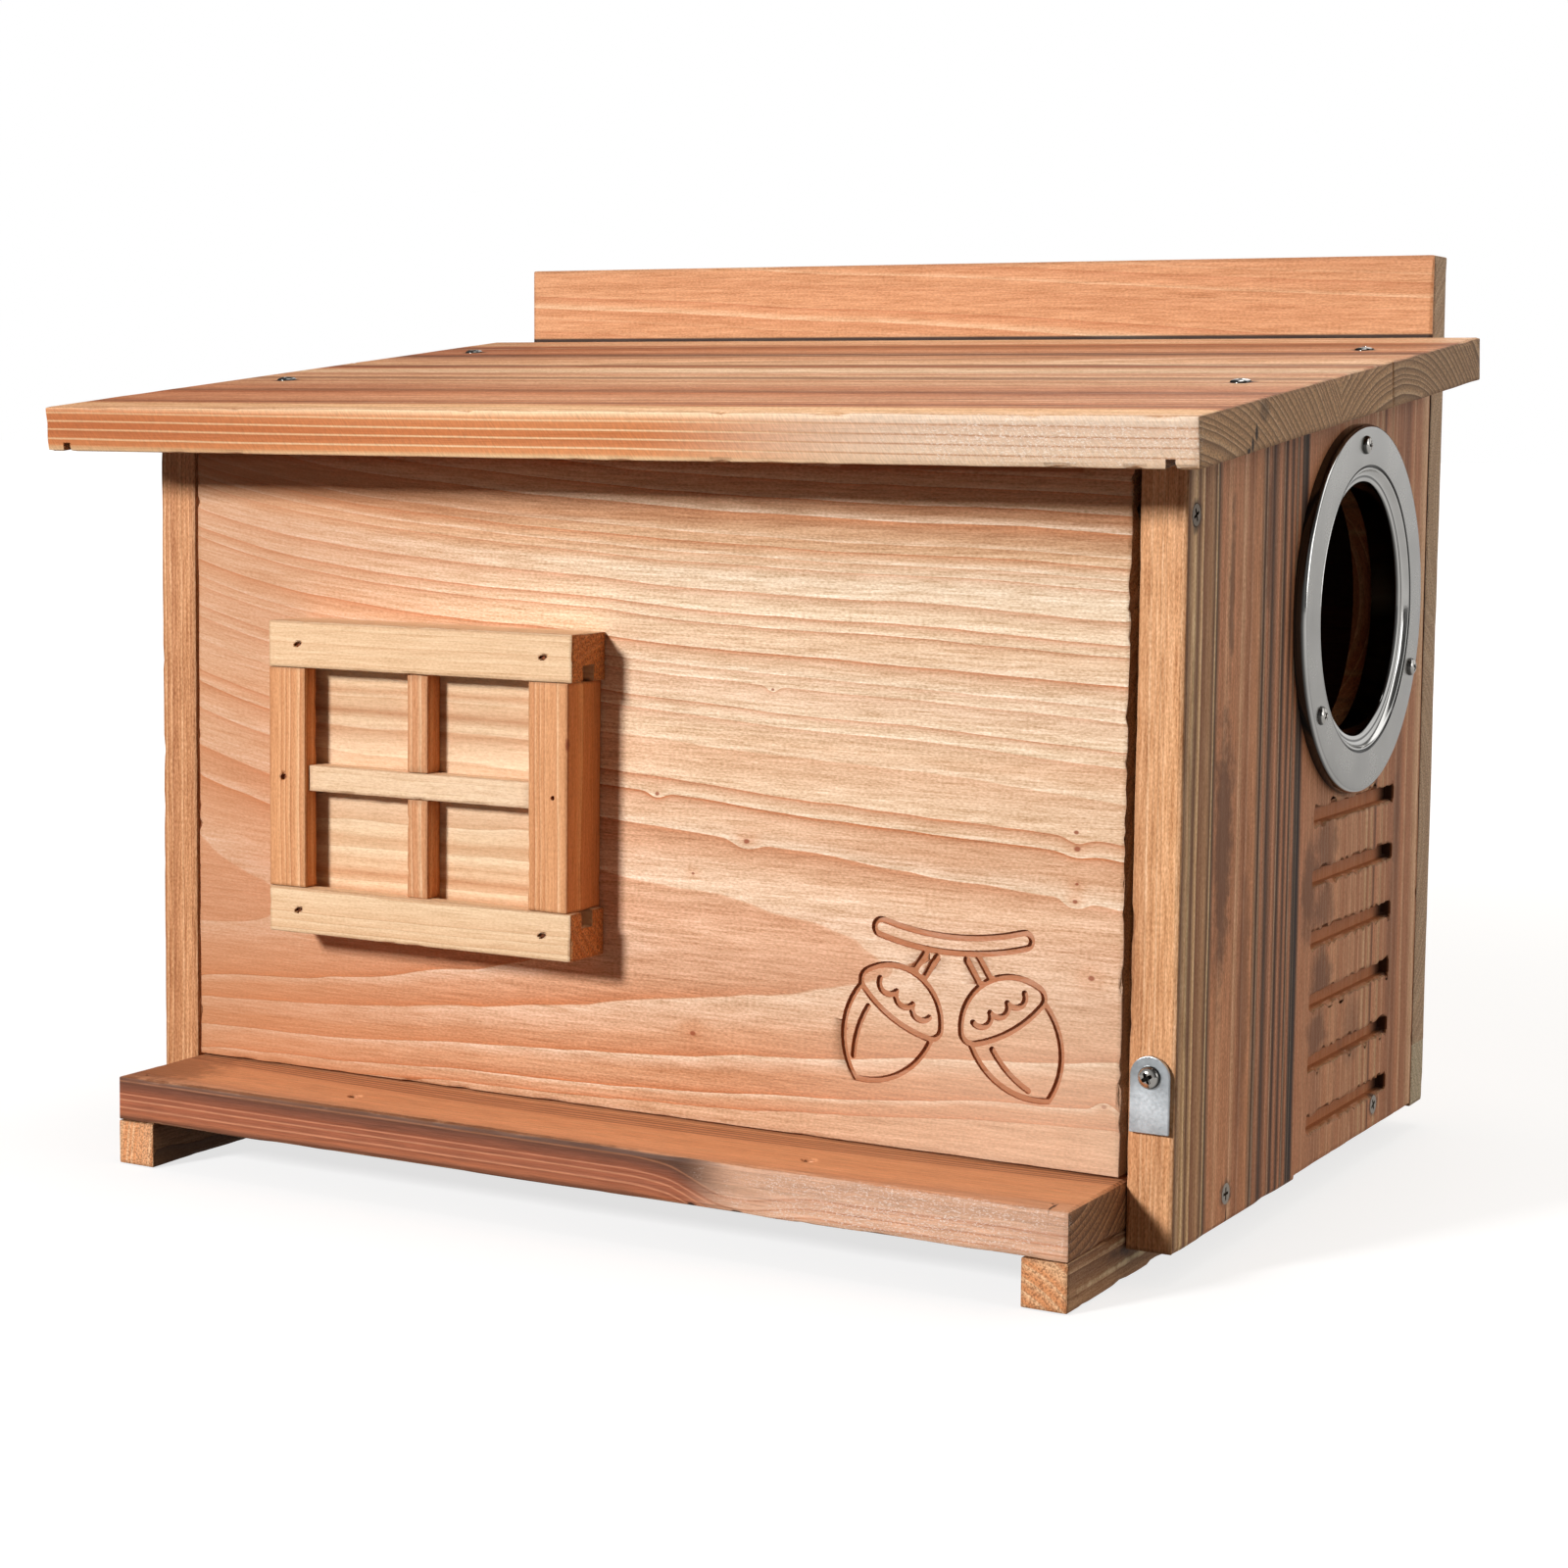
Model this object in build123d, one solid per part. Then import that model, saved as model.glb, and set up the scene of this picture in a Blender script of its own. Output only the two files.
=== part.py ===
from build123d import *
from math import asin, atan, cos, sin
import os

# Squirrel house of fir boards with a swinging front and a steel entrance ring, in millimetres.
# X runs to the right as seen from the front, Y runs to the back and Z runs up.
# The origin is on the ground, below the middle of the house's bounding box.

# Walls, floor and roof
board = 15.0
house_width = 380.0
side_depth = 234.0
front_wall_top = 245.0
roof_rise = 26.0
back_rise = 44.0
wall_lift = 9.3
roof_side_overhang = 17.5
roof_front_overhang = 37.7
perch_reach = 42.0
batten = 15.0

# Glue seams between the boards of each panel
side_rear_width = 126.3
side_step = 1.5
back_low_seam = 32.0
back_high_seam = 189.5
roof_rear_width = 99.4

# Drip grooves under the two ends of the roof
drip_inset = 7.1
drip_width = 3.0
drip_depth = 3.0

# Swinging front panel
gap_left = 1.2
gap_right = 2.1
gap_floor = 0.8
gap_roof = 1.5
front_top_round = 6.0
pivot_setback = 6.5
pivot_drop = 16.0

# Window frame on the front panel
window_width = 120.0
window_height = 104.6
window_depth = 20.0
window_from_left = 46.3
window_from_bottom = 50.4
rail_height = 15.5
stile_width = 15.0
right_stile_inset = 1.5
pane_groove_setback = 6.4
pane_groove_width = 6.5
pane_groove_depth = 5.2
pane_thickness = 3.6
muntin_width = 8.2
crossbar_height = 8.8
muntin_setback = 1.8
pane_edge_gap = 0.1

# Entrance ring in the right side
throat_radius = 42.2
ring_flange = 19.3
ring_proud = 4.3
ring_edge_round = 0.8
ring_rear_margin = 18.0
ring_roof_gap = 7.2
lip_width = 2.2
lip_drop = 2.2
bevel_width = 2.4
throat_drop = 3.4
sleeve_wall = 1.6
sleeve_length = 8.0
sleeve_gap = 0.4
ring_screw_inset = 6.7
ring_screw_angle = 96.0
ring_screw_count = 3

# Climbing grooves below the entrance
groove_ring_gap = 2.3
groove_pitch = 20.5
groove_height = 5.0
groove_depth = 3.6
groove_length = 85.2
groove_rear_margin = 30.4
groove_foot_margin = 10.0
groove_corner = 0.8

# Turning latch on the right side's front edge
latch_rise = 62.5
latch_reach = 17.0
latch_width = 12.5
latch_thickness = 1.6
latch_gap = 0.3

# Wood screws and brads
screw_head_radius = 3.3
screw_radius = 1.75
screw_length = 35.0
screw_tip = 4.0
screw_turn = 25.0
pan_radius = 3.1
pan_height = 2.0
ring_screw_radius = 1.5
ring_screw_length = 12.0
latch_head_radius = 3.5
latch_head_height = 2.2
latch_screw_length = 22.0
recess_width = 0.9
recess_depth = 1.2
recess_shares = 0.62
brad_radius = 0.7
brad_length = 26.0
brad_tip = 1.5
brad_sink = 1.2
batten_brad_length = 24.0

# Places of the screws and brads: shares run along the floor, the roof, the back and the batten
floor_screw_rise = 3.5
floor_screw_shares = (0.191, 0.814)
roof_screw_shares = (0.267, 0.777)
back_screw_shares = (0.16, 0.54, 0.92)
batten_brad_shares = (0.023, 0.355, 0.652, 0.949)
rail_brad_inset = 11.5
stile_brad_inset = 5.6

# Clearances
running_fit = 0.05
seat_fit = 0.05
head_clearance = 0.3
overrun = 2.0

# Engraved twig with two acorns on the front panel
stroke = 2.0
engraving_depth = 1.2
engraving_from_right = 56.0
engraving_rise = 74.0
acorn_lean = 32.0
acorn_spread = 18.2
nut_half_width = 14.0
nut_length = 27.0
nut_belly_shares = (0.92, 0.5)
cap_half_width = 16.5
cap_height = 13.0
cap_sag = 3.5
cap_corner = 3.6
scallop_count = 3
scallop_row = 20.0
scallop_rise = 1.6
scallop_depth = 2.8
glint_inset = 5.5
stalk_length = 9.0
stalk_half_gap = 2.0
twig_half_length = 24.0
twig_rise = 25.0
twig_sag = 3.4
twig_half_width = 2.4


# Planes, edges and angles that the pieces share
full_turn = 360
quarter_turn = full_turn / 4
overall_depth = perch_reach + side_depth + board
front = perch_reach - overall_depth / 2
rear = front + side_depth
front_edge = front - perch_reach
half_width = house_width / 2
inner_half = half_width - board
edge_middle = half_width - board / 2
floor_top = batten + board
side_seam = rear - side_rear_width
floor_seam = (front_edge + rear) / 2
rear_wall_top = front_wall_top + roof_rise
back_top = rear_wall_top + back_rise
slope = roof_rise / side_depth
slope_length = side_depth / cos(atan(slope))
roof_plane = Plane(origin=(0, front, front_wall_top), x_dir=(1, 0, 0), z_dir=(0, -slope, 1))


def under_roof(y):
    """Height of the roof's underside at a distance along Y."""
    return front_wall_top + slope * (y - front)


def block(low_x, high_x, low_y, high_y, low_z, high_z):
    """A square-cut piece between two corners."""
    corner = (Align.MIN, Align.MIN, Align.MIN)
    return Pos(low_x, low_y, low_z) * Box(high_x - low_x, high_y - low_y, high_z - low_z, align=corner)


def turned(*outline):
    """A solid turned about Z from the outline of its right half, given as (radius, height)."""
    return revolve(make_face(Plane.XZ * Polyline(*outline, close=True)), Axis.Z)


def seat(at, out, turn=0):
    """The place of a fastener: its head faces the direction out, turned about its own axis."""
    return Plane(origin=at, z_dir=out).location * Rot(0, 0, turn)


def screw_row(places, out):
    """Seats of like screws, each one driven home at another angle."""
    return [seat(place, out, screw_turn * step) for step, place in enumerate(places)]


# Fasteners, drawn with the head up and its seat at Z = 0

def cross_recess(head_radius, top):
    """The cross in a screw's head, cut down from its top."""
    bar = Box(2 * head_radius * recess_shares, recess_width, 2 * recess_depth)
    return Pos(0, 0, top) * (bar + Rot(0, 0, quarter_turn) * bar)


def countersunk_body(grow):
    """Outline of a 90 degree countersunk screw, larger all round by grow."""
    head = screw_head_radius + grow
    shank = screw_radius + grow
    return turned((0, 0), (head, 0), (shank, shank - head), (shank, screw_tip - screw_length),
                  (0, -screw_length))


def countersunk_screw():
    """Wood screw whose flat head ends level with the board."""
    return countersunk_body(0) - cross_recess(screw_head_radius, 0)


def countersunk_hole(head_gap, shank_gap):
    """Hole for a countersunk screw: a cone for the head and a bore for the shank."""
    head = screw_head_radius + head_gap
    shank = screw_radius + shank_gap
    bottom = -screw_length - shank_gap
    return turned((0, overrun), (head, overrun), (head, 0), (shank, shank - head), (shank, bottom),
                  (0, bottom))


def pan_screw(head_radius, head_height, shank, length):
    """Wood screw with a domed head that stands on the surface."""
    ball = (head_radius ** 2 + head_height ** 2) / (2 * head_height)
    half_angle = asin(head_radius / ball) / 2
    middle = (ball * sin(half_angle), head_height - ball + ball * cos(half_angle))
    dome = ThreePointArc((0, head_height), middle, (head_radius, 0))
    under = Polyline((head_radius, 0), (shank, 0), (shank, screw_tip - length), (0, -length),
                     (0, head_height))
    body = revolve(make_face(Plane.XZ * (dome + under)), Axis.Z)
    return body - cross_recess(head_radius, head_height)


def bore(radius, length):
    """Round hole for a shank or a brad, from above the surface down."""
    downwards = (Align.CENTER, Align.CENTER, Align.MAX)
    return Pos(0, 0, overrun) * Cylinder(radius, length + overrun, align=downwards)


def brad(length):
    """Headless nail driven a little below the surface."""
    return turned((0, -brad_sink), (brad_radius, -brad_sink), (brad_radius, brad_tip - length),
                  (0, -length))


# Screws that hold the walls, floor and roof

def roof_screw_seats():
    """Down through the roof into the top edges of both sides."""
    places = [roof_plane.from_local_coords((side * edge_middle, share * slope_length, board))
              for share in roof_screw_shares for side in (-1, 1)]
    return screw_row(places, roof_plane.z_dir)


def floor_screw_seats(side):
    """Through one side into the ends of the floor."""
    rise = batten + floor_screw_rise
    places = [(side * half_width, front + share * side_depth, rise) for share in floor_screw_shares]
    return screw_row(places, (side, 0, 0))


def back_screw_seats(side):
    """Through the back into the rear edge of one side."""
    places = [(side * edge_middle, rear + board, share * rear_wall_top) for share in back_screw_shares]
    return screw_row(places, (0, 1, 0))


def batten_brad_seats(side):
    """Down through the floor into one batten."""
    across = side * (inner_half - batten / 2)
    length = rear - front_edge
    return [seat((across, front_edge + share * length, floor_top), (0, 0, 1))
            for share in batten_brad_shares]


def cut_at(piece, seats, hole):
    """The piece with a hole at each of the seats."""
    for place in seats:
        piece -= place * hole
    return piece


wall_hole = countersunk_hole(seat_fit, seat_fit)
batten_brad_hole = bore(brad_radius + seat_fit, batten_brad_length)


# Walls

def side_board(side, low_y, high_y, low_z):
    """One upright board of a side panel, its top edge cut to the roof's slope."""
    outline = Polyline((low_y, low_z), (high_y, low_z), (high_y, under_roof(high_y)),
                       (low_y, under_roof(low_y)), close=True)
    low_x = inner_half if side > 0 else -half_width
    wall = extrude(Plane.YZ.offset(low_x) * make_face(outline), amount=board)
    wall = cut_at(wall, roof_screw_seats() + floor_screw_seats(side) + back_screw_seats(side), wall_hole)
    return wall


def side_front_board(side):
    """The board that carries the front panel's pivot screw."""
    wall = side_board(side, front, side_seam, wall_lift)
    return wall - pivot_seat(side) * countersunk_hole(head_clearance, running_fit)


def side_rear_board(side):
    """The wider board, which ends a step higher than the front one."""
    return side_board(side, side_seam, rear, wall_lift + side_step)


def with_entrance(wall):
    """The wall cut for the round entrance, its ring's screws and the climbing grooves below it."""
    wall -= entrance_seat() * Cylinder(wood_hole_radius, 2 * board + overrun)
    wall = cut_at(wall, ring_screw_seats(), ring_screw_hole)
    mouth = Plane(origin=(half_width, groove_middle, 0), x_dir=(0, 1, 0), z_dir=(1, 0, 0))
    outline = RectangleRounded(groove_length, groove_height, groove_corner)
    for step in range(groove_count):
        rise = top_groove - step * groove_pitch
        wall -= extrude(mouth * (Pos(0, rise) * outline), amount=groove_depth, both=True)
    return wall


def right_front_board():
    """The right side's front board also takes the latch's screw in its front edge."""
    wall = side_front_board(1) - latch_seat() * bore(screw_radius + seat_fit, latch_screw_length)
    return with_entrance(wall)


def right_rear_board():
    """The right side's rear board holds the entrance and the grooves."""
    return with_entrance(side_rear_board(1))


def back_board(low_z, high_z):
    """One level board of the back panel."""
    wall = block(-half_width, half_width, rear, rear + board, low_z, high_z)
    return cut_at(wall, back_screw_seats(-1) + back_screw_seats(1), wall_hole)


def floor_board(low_y, high_y):
    """One board of the floor, which runs out under the front panel as the perch."""
    plank = block(-inner_half, inner_half, low_y, high_y, batten, floor_top)
    plank = cut_at(plank, floor_screw_seats(-1) + floor_screw_seats(1), wall_hole)
    return cut_at(plank, batten_brad_seats(-1) + batten_brad_seats(1), batten_brad_hole)


def batten_bar(side):
    """Square bar that the floor stands on, flush with the perch's end."""
    low_x = inner_half - batten if side > 0 else -inner_half
    bar = block(low_x, low_x + batten, front_edge, rear, 0, batten)
    return cut_at(bar, batten_brad_seats(side), batten_brad_hole)


def roof_board(low_y, high_y):
    """One board of the roof, drawn in the roof's own plane, with a drip groove under each end."""
    end = half_width + roof_side_overhang
    plank = block(-end, end, low_y, high_y, 0, board)
    for low_x in (drip_inset - end, end - drip_inset - drip_width):
        plank -= block(low_x, low_x + drip_width, low_y - overrun, high_y + overrun, -overrun, drip_depth)
    return cut_at(roof_plane.location * plank, roof_screw_seats(), wall_hole)


# Entrance ring and the places that follow it

ring_radius = throat_radius + ring_flange
wood_hole_radius = throat_radius + sleeve_wall + sleeve_gap
entrance_middle = rear - ring_rear_margin - ring_radius
entrance_height = under_roof(entrance_middle) - ring_roof_gap - ring_radius
groove_middle = rear - groove_rear_margin - groove_length / 2
top_groove = entrance_height - ring_radius - groove_ring_gap - groove_height / 2
lowest_groove = wall_lift + groove_foot_margin + groove_height / 2
groove_count = 1 + int((top_groove - lowest_groove) / groove_pitch)


def entrance_seat():
    """The middle of the entrance on the right side's outer face."""
    return seat((half_width, entrance_middle, entrance_height), (1, 0, 0))


def ring_screw_seats():
    """Places on the ring's face, evenly spaced around the entrance."""
    centre = Vector(half_width + ring_proud, entrance_middle, entrance_height)
    out = Vector(0, ring_radius - ring_screw_inset, 0)
    spacing = full_turn / ring_screw_count
    angles = [ring_screw_angle + step * spacing for step in range(ring_screw_count)]
    return [seat(centre + out.rotate(Axis.X, angle), (1, 0, 0), angle) for angle in angles]


ring_screw_hole = bore(ring_screw_radius + seat_fit, ring_screw_length)


def entrance_ring():
    """Turned steel flange with a stepped lip and a short sleeve that lines the hole."""
    sleeve_radius = throat_radius + sleeve_wall
    lip_radius = throat_radius + lip_width
    rim = ring_radius - ring_edge_round
    shoulder = ring_proud - ring_edge_round
    ring = turned((ring_radius, 0), (ring_radius, shoulder), (rim, ring_proud),
                  (lip_radius + bevel_width, ring_proud), (lip_radius, ring_proud - lip_drop),
                  (throat_radius, ring_proud - throat_drop),
                  (throat_radius, -sleeve_length), (sleeve_radius, -sleeve_length), (sleeve_radius, 0))
    return cut_at(entrance_seat() * ring, ring_screw_seats(), ring_screw_hole)


# Swinging front panel

panel_left = -inner_half + gap_left
panel_right = inner_half - gap_right
panel_bottom = floor_top + gap_floor
panel_top = front_wall_top - gap_roof
window_left = panel_left + window_from_left
window_right = window_left + window_width
window_bottom = panel_bottom + window_from_bottom
window_top = window_bottom + window_height
window_face = front - window_depth
glass_left = window_left + stile_width
glass_right = window_right - right_stile_inset - stile_width
glass_bottom = window_bottom + rail_height
glass_top = window_top - rail_height
pane_groove_front = window_face + pane_groove_setback
pane_groove_back = pane_groove_front + pane_groove_width
pane_front = pane_groove_back - pane_thickness


def pivot_seat(side):
    """The screw on which the front panel swings, driven through one side into the panel's end."""
    rise = panel_top - pivot_drop
    return seat((side * half_width, front + pivot_setback, rise), (side, 0, 0), screw_turn)


def window_brad_seats():
    """Two brads through each rail and one through each stile, into the front panel."""
    rail_lift = rail_height / 2
    corners = [(x, z) for x in (window_left + rail_brad_inset, window_right - rail_brad_inset)
               for z in (window_bottom + rail_lift, window_top - rail_lift)]
    middle = (window_bottom + window_top) / 2
    outer_edge = glass_right + stile_width
    sides = [(window_left + stile_brad_inset, middle), (outer_edge - stile_brad_inset, middle)]
    return [seat((x, window_face, z), (0, -1, 0)) for x, z in corners + sides]


window_brad_hole = bore(brad_radius + seat_fit, brad_length)


def front_panel():
    """One wide board with a rounded top front edge, so that it can swing out under the roof."""
    start = panel_top - front_top_round
    edge = JernArc((front, start), (0, 1), front_top_round, -quarter_turn)
    outline = Polyline((front + front_top_round, panel_top), (front + board, panel_top),
                       (front + board, panel_bottom), (front, panel_bottom), (front, start))
    profile = Plane.YZ.offset(panel_left) * make_face(edge + outline)
    panel = extrude(profile, amount=panel_right - panel_left)
    panel = cut_at(panel, [pivot_seat(-1), pivot_seat(1)], bore(screw_radius + seat_fit, screw_length))
    panel = cut_at(panel, window_brad_seats(), window_brad_hole)
    for tracks in engraving():
        panel -= tracks
    return panel


def window_bar(low_x, high_x, low_z, high_z):
    """One bar of the window frame, nailed to the front panel."""
    bar = block(low_x, high_x, window_face, front, low_z, high_z)
    return cut_at(bar, window_brad_seats(), window_brad_hole)


def window_rail(low_z, groove_z):
    """Level bar over the full width, grooved along the edge that faces the pane."""
    rail = window_bar(window_left, window_right, low_z, low_z + rail_height)
    groove = block(window_left - overrun, window_right + overrun, pane_groove_front, pane_groove_back,
                   groove_z, groove_z + pane_groove_depth)
    return rail - groove


def window_stile(low_x, groove_x):
    """Upright bar between the rails, grooved along the edge that faces the pane."""
    stile = window_bar(low_x, low_x + stile_width, glass_bottom, glass_top)
    groove = block(groove_x, groove_x + pane_groove_depth, pane_groove_front, pane_groove_back,
                   glass_bottom - overrun, glass_top + overrun)
    return stile - groove


def window_pane():
    """Thin pale board held in the frame's groove, in place of glass."""
    tongue = pane_groove_depth - pane_edge_gap
    return block(glass_left - tongue, glass_right + tongue, pane_front, pane_groove_back,
                 glass_bottom - tongue, glass_top + tongue)


def muntin(low_x, high_x, low_z, high_z):
    """Glazing bar glued to the pane, a little behind the frame's face."""
    return block(low_x, high_x, window_face + muntin_setback, pane_front, low_z, high_z)


def upright_muntin(low_z, high_z):
    """Short bar above or below the crossbar."""
    middle = (glass_left + glass_right) / 2
    return muntin(middle - muntin_width / 2, middle + muntin_width / 2, low_z, high_z)


crossbar_bottom = (glass_bottom + glass_top - crossbar_height) / 2
crossbar_top = crossbar_bottom + crossbar_height


# Engraving: tracks of a round cutter, drawn in the panel's front plane

def track_around(face):
    """The track of the cutter along a closed outline."""
    return offset(face, stroke / 2) - offset(face, -stroke / 2)


def acorn_cap():
    """The cap's face: a dome over a sagging rim, with rounded corners."""
    left_end = (-cap_half_width, 0)
    right_end = (cap_half_width, 0)
    dome = ThreePointArc(left_end, (0, cap_height), right_end)
    rim = ThreePointArc(left_end, (0, -cap_sag), right_end)
    cap = make_face(dome + rim)
    return fillet(cap.vertices(), cap_corner)


def acorn_nut():
    """The nut's face: two bowed sides that meet in a point, closed under the cap."""
    belly_x, belly_z = nut_belly_shares
    belly_out = nut_half_width * belly_x
    belly_down = -nut_length * belly_z
    sides = [ThreePointArc((side * nut_half_width, 0), (side * belly_out, belly_down), (0, -nut_length))
             for side in (-1, 1)]
    return make_face(sides + [Line((-nut_half_width, 0), (nut_half_width, 0))])


def scallops():
    """A row of hanging arcs across the cap."""
    pitch = scallop_row / scallop_count
    starts = [step * pitch - scallop_row / 2 for step in range(scallop_count)]
    top = scallop_rise + scallop_depth
    return [ThreePointArc((x, top), (x + pitch / 2, scallop_rise), (x + pitch, top)) for x in starts]


def glint():
    """The short line inside the nut's left side."""
    inner = glint_inset - nut_half_width
    return ThreePointArc((inner, -glint_inset), (inner + stroke / 2, -nut_length / 2),
                         (inner / 2, glint_inset - nut_length))


def stalk(offset_x):
    """One side of the stalk, from the cap's crown up to the twig."""
    middle = cap_height + stalk_length / 2
    return Pos(offset_x, middle) * Rot(0, 0, quarter_turn) * SlotCenterToCenter(stalk_length, stroke)


def acorn_tracks():
    """One upright acorn, with the ends of its rim at the height of the origin."""
    cap = acorn_cap()
    tracks = track_around(cap) + (track_around(acorn_nut()) - cap)
    for line in scallops() + [glint()]:
        tracks += SlotArc(line, stroke)
    return tracks + stalk(-stalk_half_gap) + stalk(stalk_half_gap)


def twig_track():
    """A bowed twig with round ends."""
    bow = ThreePointArc((-twig_half_length, 0), (0, -twig_sag), (twig_half_length, 0))
    return Pos(0, twig_rise) * track_around(SlotArc(bow, 2 * twig_half_width))


def engraving():
    """A pair of acorns that lean apart under one twig, as shallow solids to cut from the panel."""
    faces = [twig_track()]
    for side in (-1, 1):
        faces.append(Pos(side * acorn_spread, 0) * Rot(0, 0, side * acorn_lean) * acorn_tracks())
    at = (panel_right - engraving_from_right, front, engraving_rise)
    picture = Plane(origin=at, x_dir=(1, 0, 0), z_dir=(0, -1, 0))
    return [extrude(picture * face, amount=-engraving_depth) for face in faces]


# Latch

def latch_seat():
    """The latch's screw in the front edge of the right side."""
    return seat((edge_middle, front, latch_rise), (0, -1, 0))


def latch_plate():
    """Steel turn button, hanging straight down from its screw, clear of the front panel."""
    tongue = Rectangle(latch_width, latch_reach, align=(Align.CENTER, Align.MAX))
    outline = tongue + Circle(latch_width / 2) - Circle(screw_radius + running_fit)
    pivot = (edge_middle, front - latch_gap, latch_rise)
    upright = Plane(origin=pivot, x_dir=(1, 0, 0), z_dir=(0, -1, 0))
    return upright.location * extrude(outline, amount=latch_thickness)


def latch_screw():
    """Pan screw that holds the latch loosely enough to turn."""
    lift = 2 * latch_gap + latch_thickness
    screw = pan_screw(latch_head_radius, latch_head_height, screw_radius, latch_screw_length + lift)
    return latch_seat() * (Pos(0, 0, lift) * screw)


def copies(seats, piece):
    """The same fastener at each of the seats."""
    return [place * piece for place in seats]


parts = {
    "left_side_front_board": [side_front_board(-1)],
    "left_side_rear_board": [side_rear_board(-1)],
    "right_side_front_board": [right_front_board()],
    "right_side_rear_board": [right_rear_board()],
    "back_bottom_board": [back_board(wall_lift, back_low_seam)],
    "back_middle_board": [back_board(back_low_seam, back_high_seam)],
    "back_top_board": [back_board(back_high_seam, back_top)],
    "floor_perch_board": [floor_board(front_edge, floor_seam)],
    "floor_rear_board": [floor_board(floor_seam, rear)],
    "left_batten": [batten_bar(-1)],
    "right_batten": [batten_bar(1)],
    "roof_front_board": [roof_board(-roof_front_overhang, slope_length - roof_rear_width)],
    "roof_rear_board": [roof_board(slope_length - roof_rear_width, slope_length)],
    "entrance_ring": [entrance_ring()],
    "ring_screws": copies(ring_screw_seats(),
                          pan_screw(pan_radius, pan_height, ring_screw_radius, ring_screw_length)),
    "front_panel": [front_panel()],
    "window_top_rail": [window_rail(glass_top, glass_top)],
    "window_bottom_rail": [window_rail(window_bottom, glass_bottom - pane_groove_depth)],
    "window_left_stile": [window_stile(window_left, glass_left - pane_groove_depth)],
    "window_right_stile": [window_stile(glass_right, glass_right)],
    "window_pane_board": [window_pane()],
    "window_crossbar": [muntin(glass_left, glass_right, crossbar_bottom, crossbar_top)],
    "window_upper_muntin": [upright_muntin(crossbar_top, glass_top)],
    "window_lower_muntin": [upright_muntin(glass_bottom, crossbar_bottom)],
    "window_brads": copies(window_brad_seats(), brad(brad_length)),
    "pivot_screws": copies([pivot_seat(-1), pivot_seat(1)], countersunk_screw()),
    "latch_plate": [latch_plate()],
    "latch_screw": [latch_screw()],
    "roof_screws": copies(roof_screw_seats(), countersunk_screw()),
    "floor_screws": copies(floor_screw_seats(-1) + floor_screw_seats(1), countersunk_screw()),
    "back_screws": copies(back_screw_seats(-1) + back_screw_seats(1), countersunk_screw()),
    "batten_brads": copies(batten_brad_seats(-1) + batten_brad_seats(1), brad(batten_brad_length)),
}

os.makedirs("parts", exist_ok=True)
for name, solids in parts.items():
    shape = solids[0] if len(solids) == 1 else Compound(children=solids)
    export_step(shape, f"parts/{name}.step")
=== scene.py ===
from functools import partialmethod
from math import cos, pi, radians, sin, tan

import bmesh
import bpy
import numpy as np
from mathutils import Matrix, Vector


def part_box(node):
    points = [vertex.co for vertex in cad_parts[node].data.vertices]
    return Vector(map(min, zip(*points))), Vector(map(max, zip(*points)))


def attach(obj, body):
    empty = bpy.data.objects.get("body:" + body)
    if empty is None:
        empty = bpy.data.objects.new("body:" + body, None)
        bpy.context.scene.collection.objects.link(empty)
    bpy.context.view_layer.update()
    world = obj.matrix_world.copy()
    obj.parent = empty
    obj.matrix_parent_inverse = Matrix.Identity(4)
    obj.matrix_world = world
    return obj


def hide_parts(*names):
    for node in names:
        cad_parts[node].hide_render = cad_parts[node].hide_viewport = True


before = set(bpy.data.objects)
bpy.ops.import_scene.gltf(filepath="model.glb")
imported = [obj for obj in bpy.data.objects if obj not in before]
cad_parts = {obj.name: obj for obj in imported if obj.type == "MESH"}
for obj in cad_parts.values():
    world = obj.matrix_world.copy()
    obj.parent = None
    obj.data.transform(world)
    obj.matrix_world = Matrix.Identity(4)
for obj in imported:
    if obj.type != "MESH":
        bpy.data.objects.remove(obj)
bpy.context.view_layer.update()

# The floor and its perch: a panel of two fir boards glued edge to edge, grain from side to side,
# toasted brown and sanded. It runs out under the front, where its sawn end shows at the right.


def tone(red, green, blue):
    """A tone as it looks on screen, made linear: each share of 255 to the power 2.2."""
    return (*((part / 255) ** 2.2 for part in (red, green, blue)), 1.0)


def node(tree, kind, inputs=(), **settings):
    """Adds a shader node and gives its outputs, as values by number and by name. Each input, by
    number or name, gets a value or a constant."""
    made = tree.nodes.new("ShaderNode" + kind)
    for setting, choice in settings.items():
        setattr(made, setting, choice)
    for key, given in dict(inputs).items():
        if isinstance(given, Value):
            given.feed(made.inputs[key])
        else:
            made.inputs[key].default_value = given
    return {key: Value(socket) for number, socket in enumerate(made.outputs)
            for key in (number, socket.name)}


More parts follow.
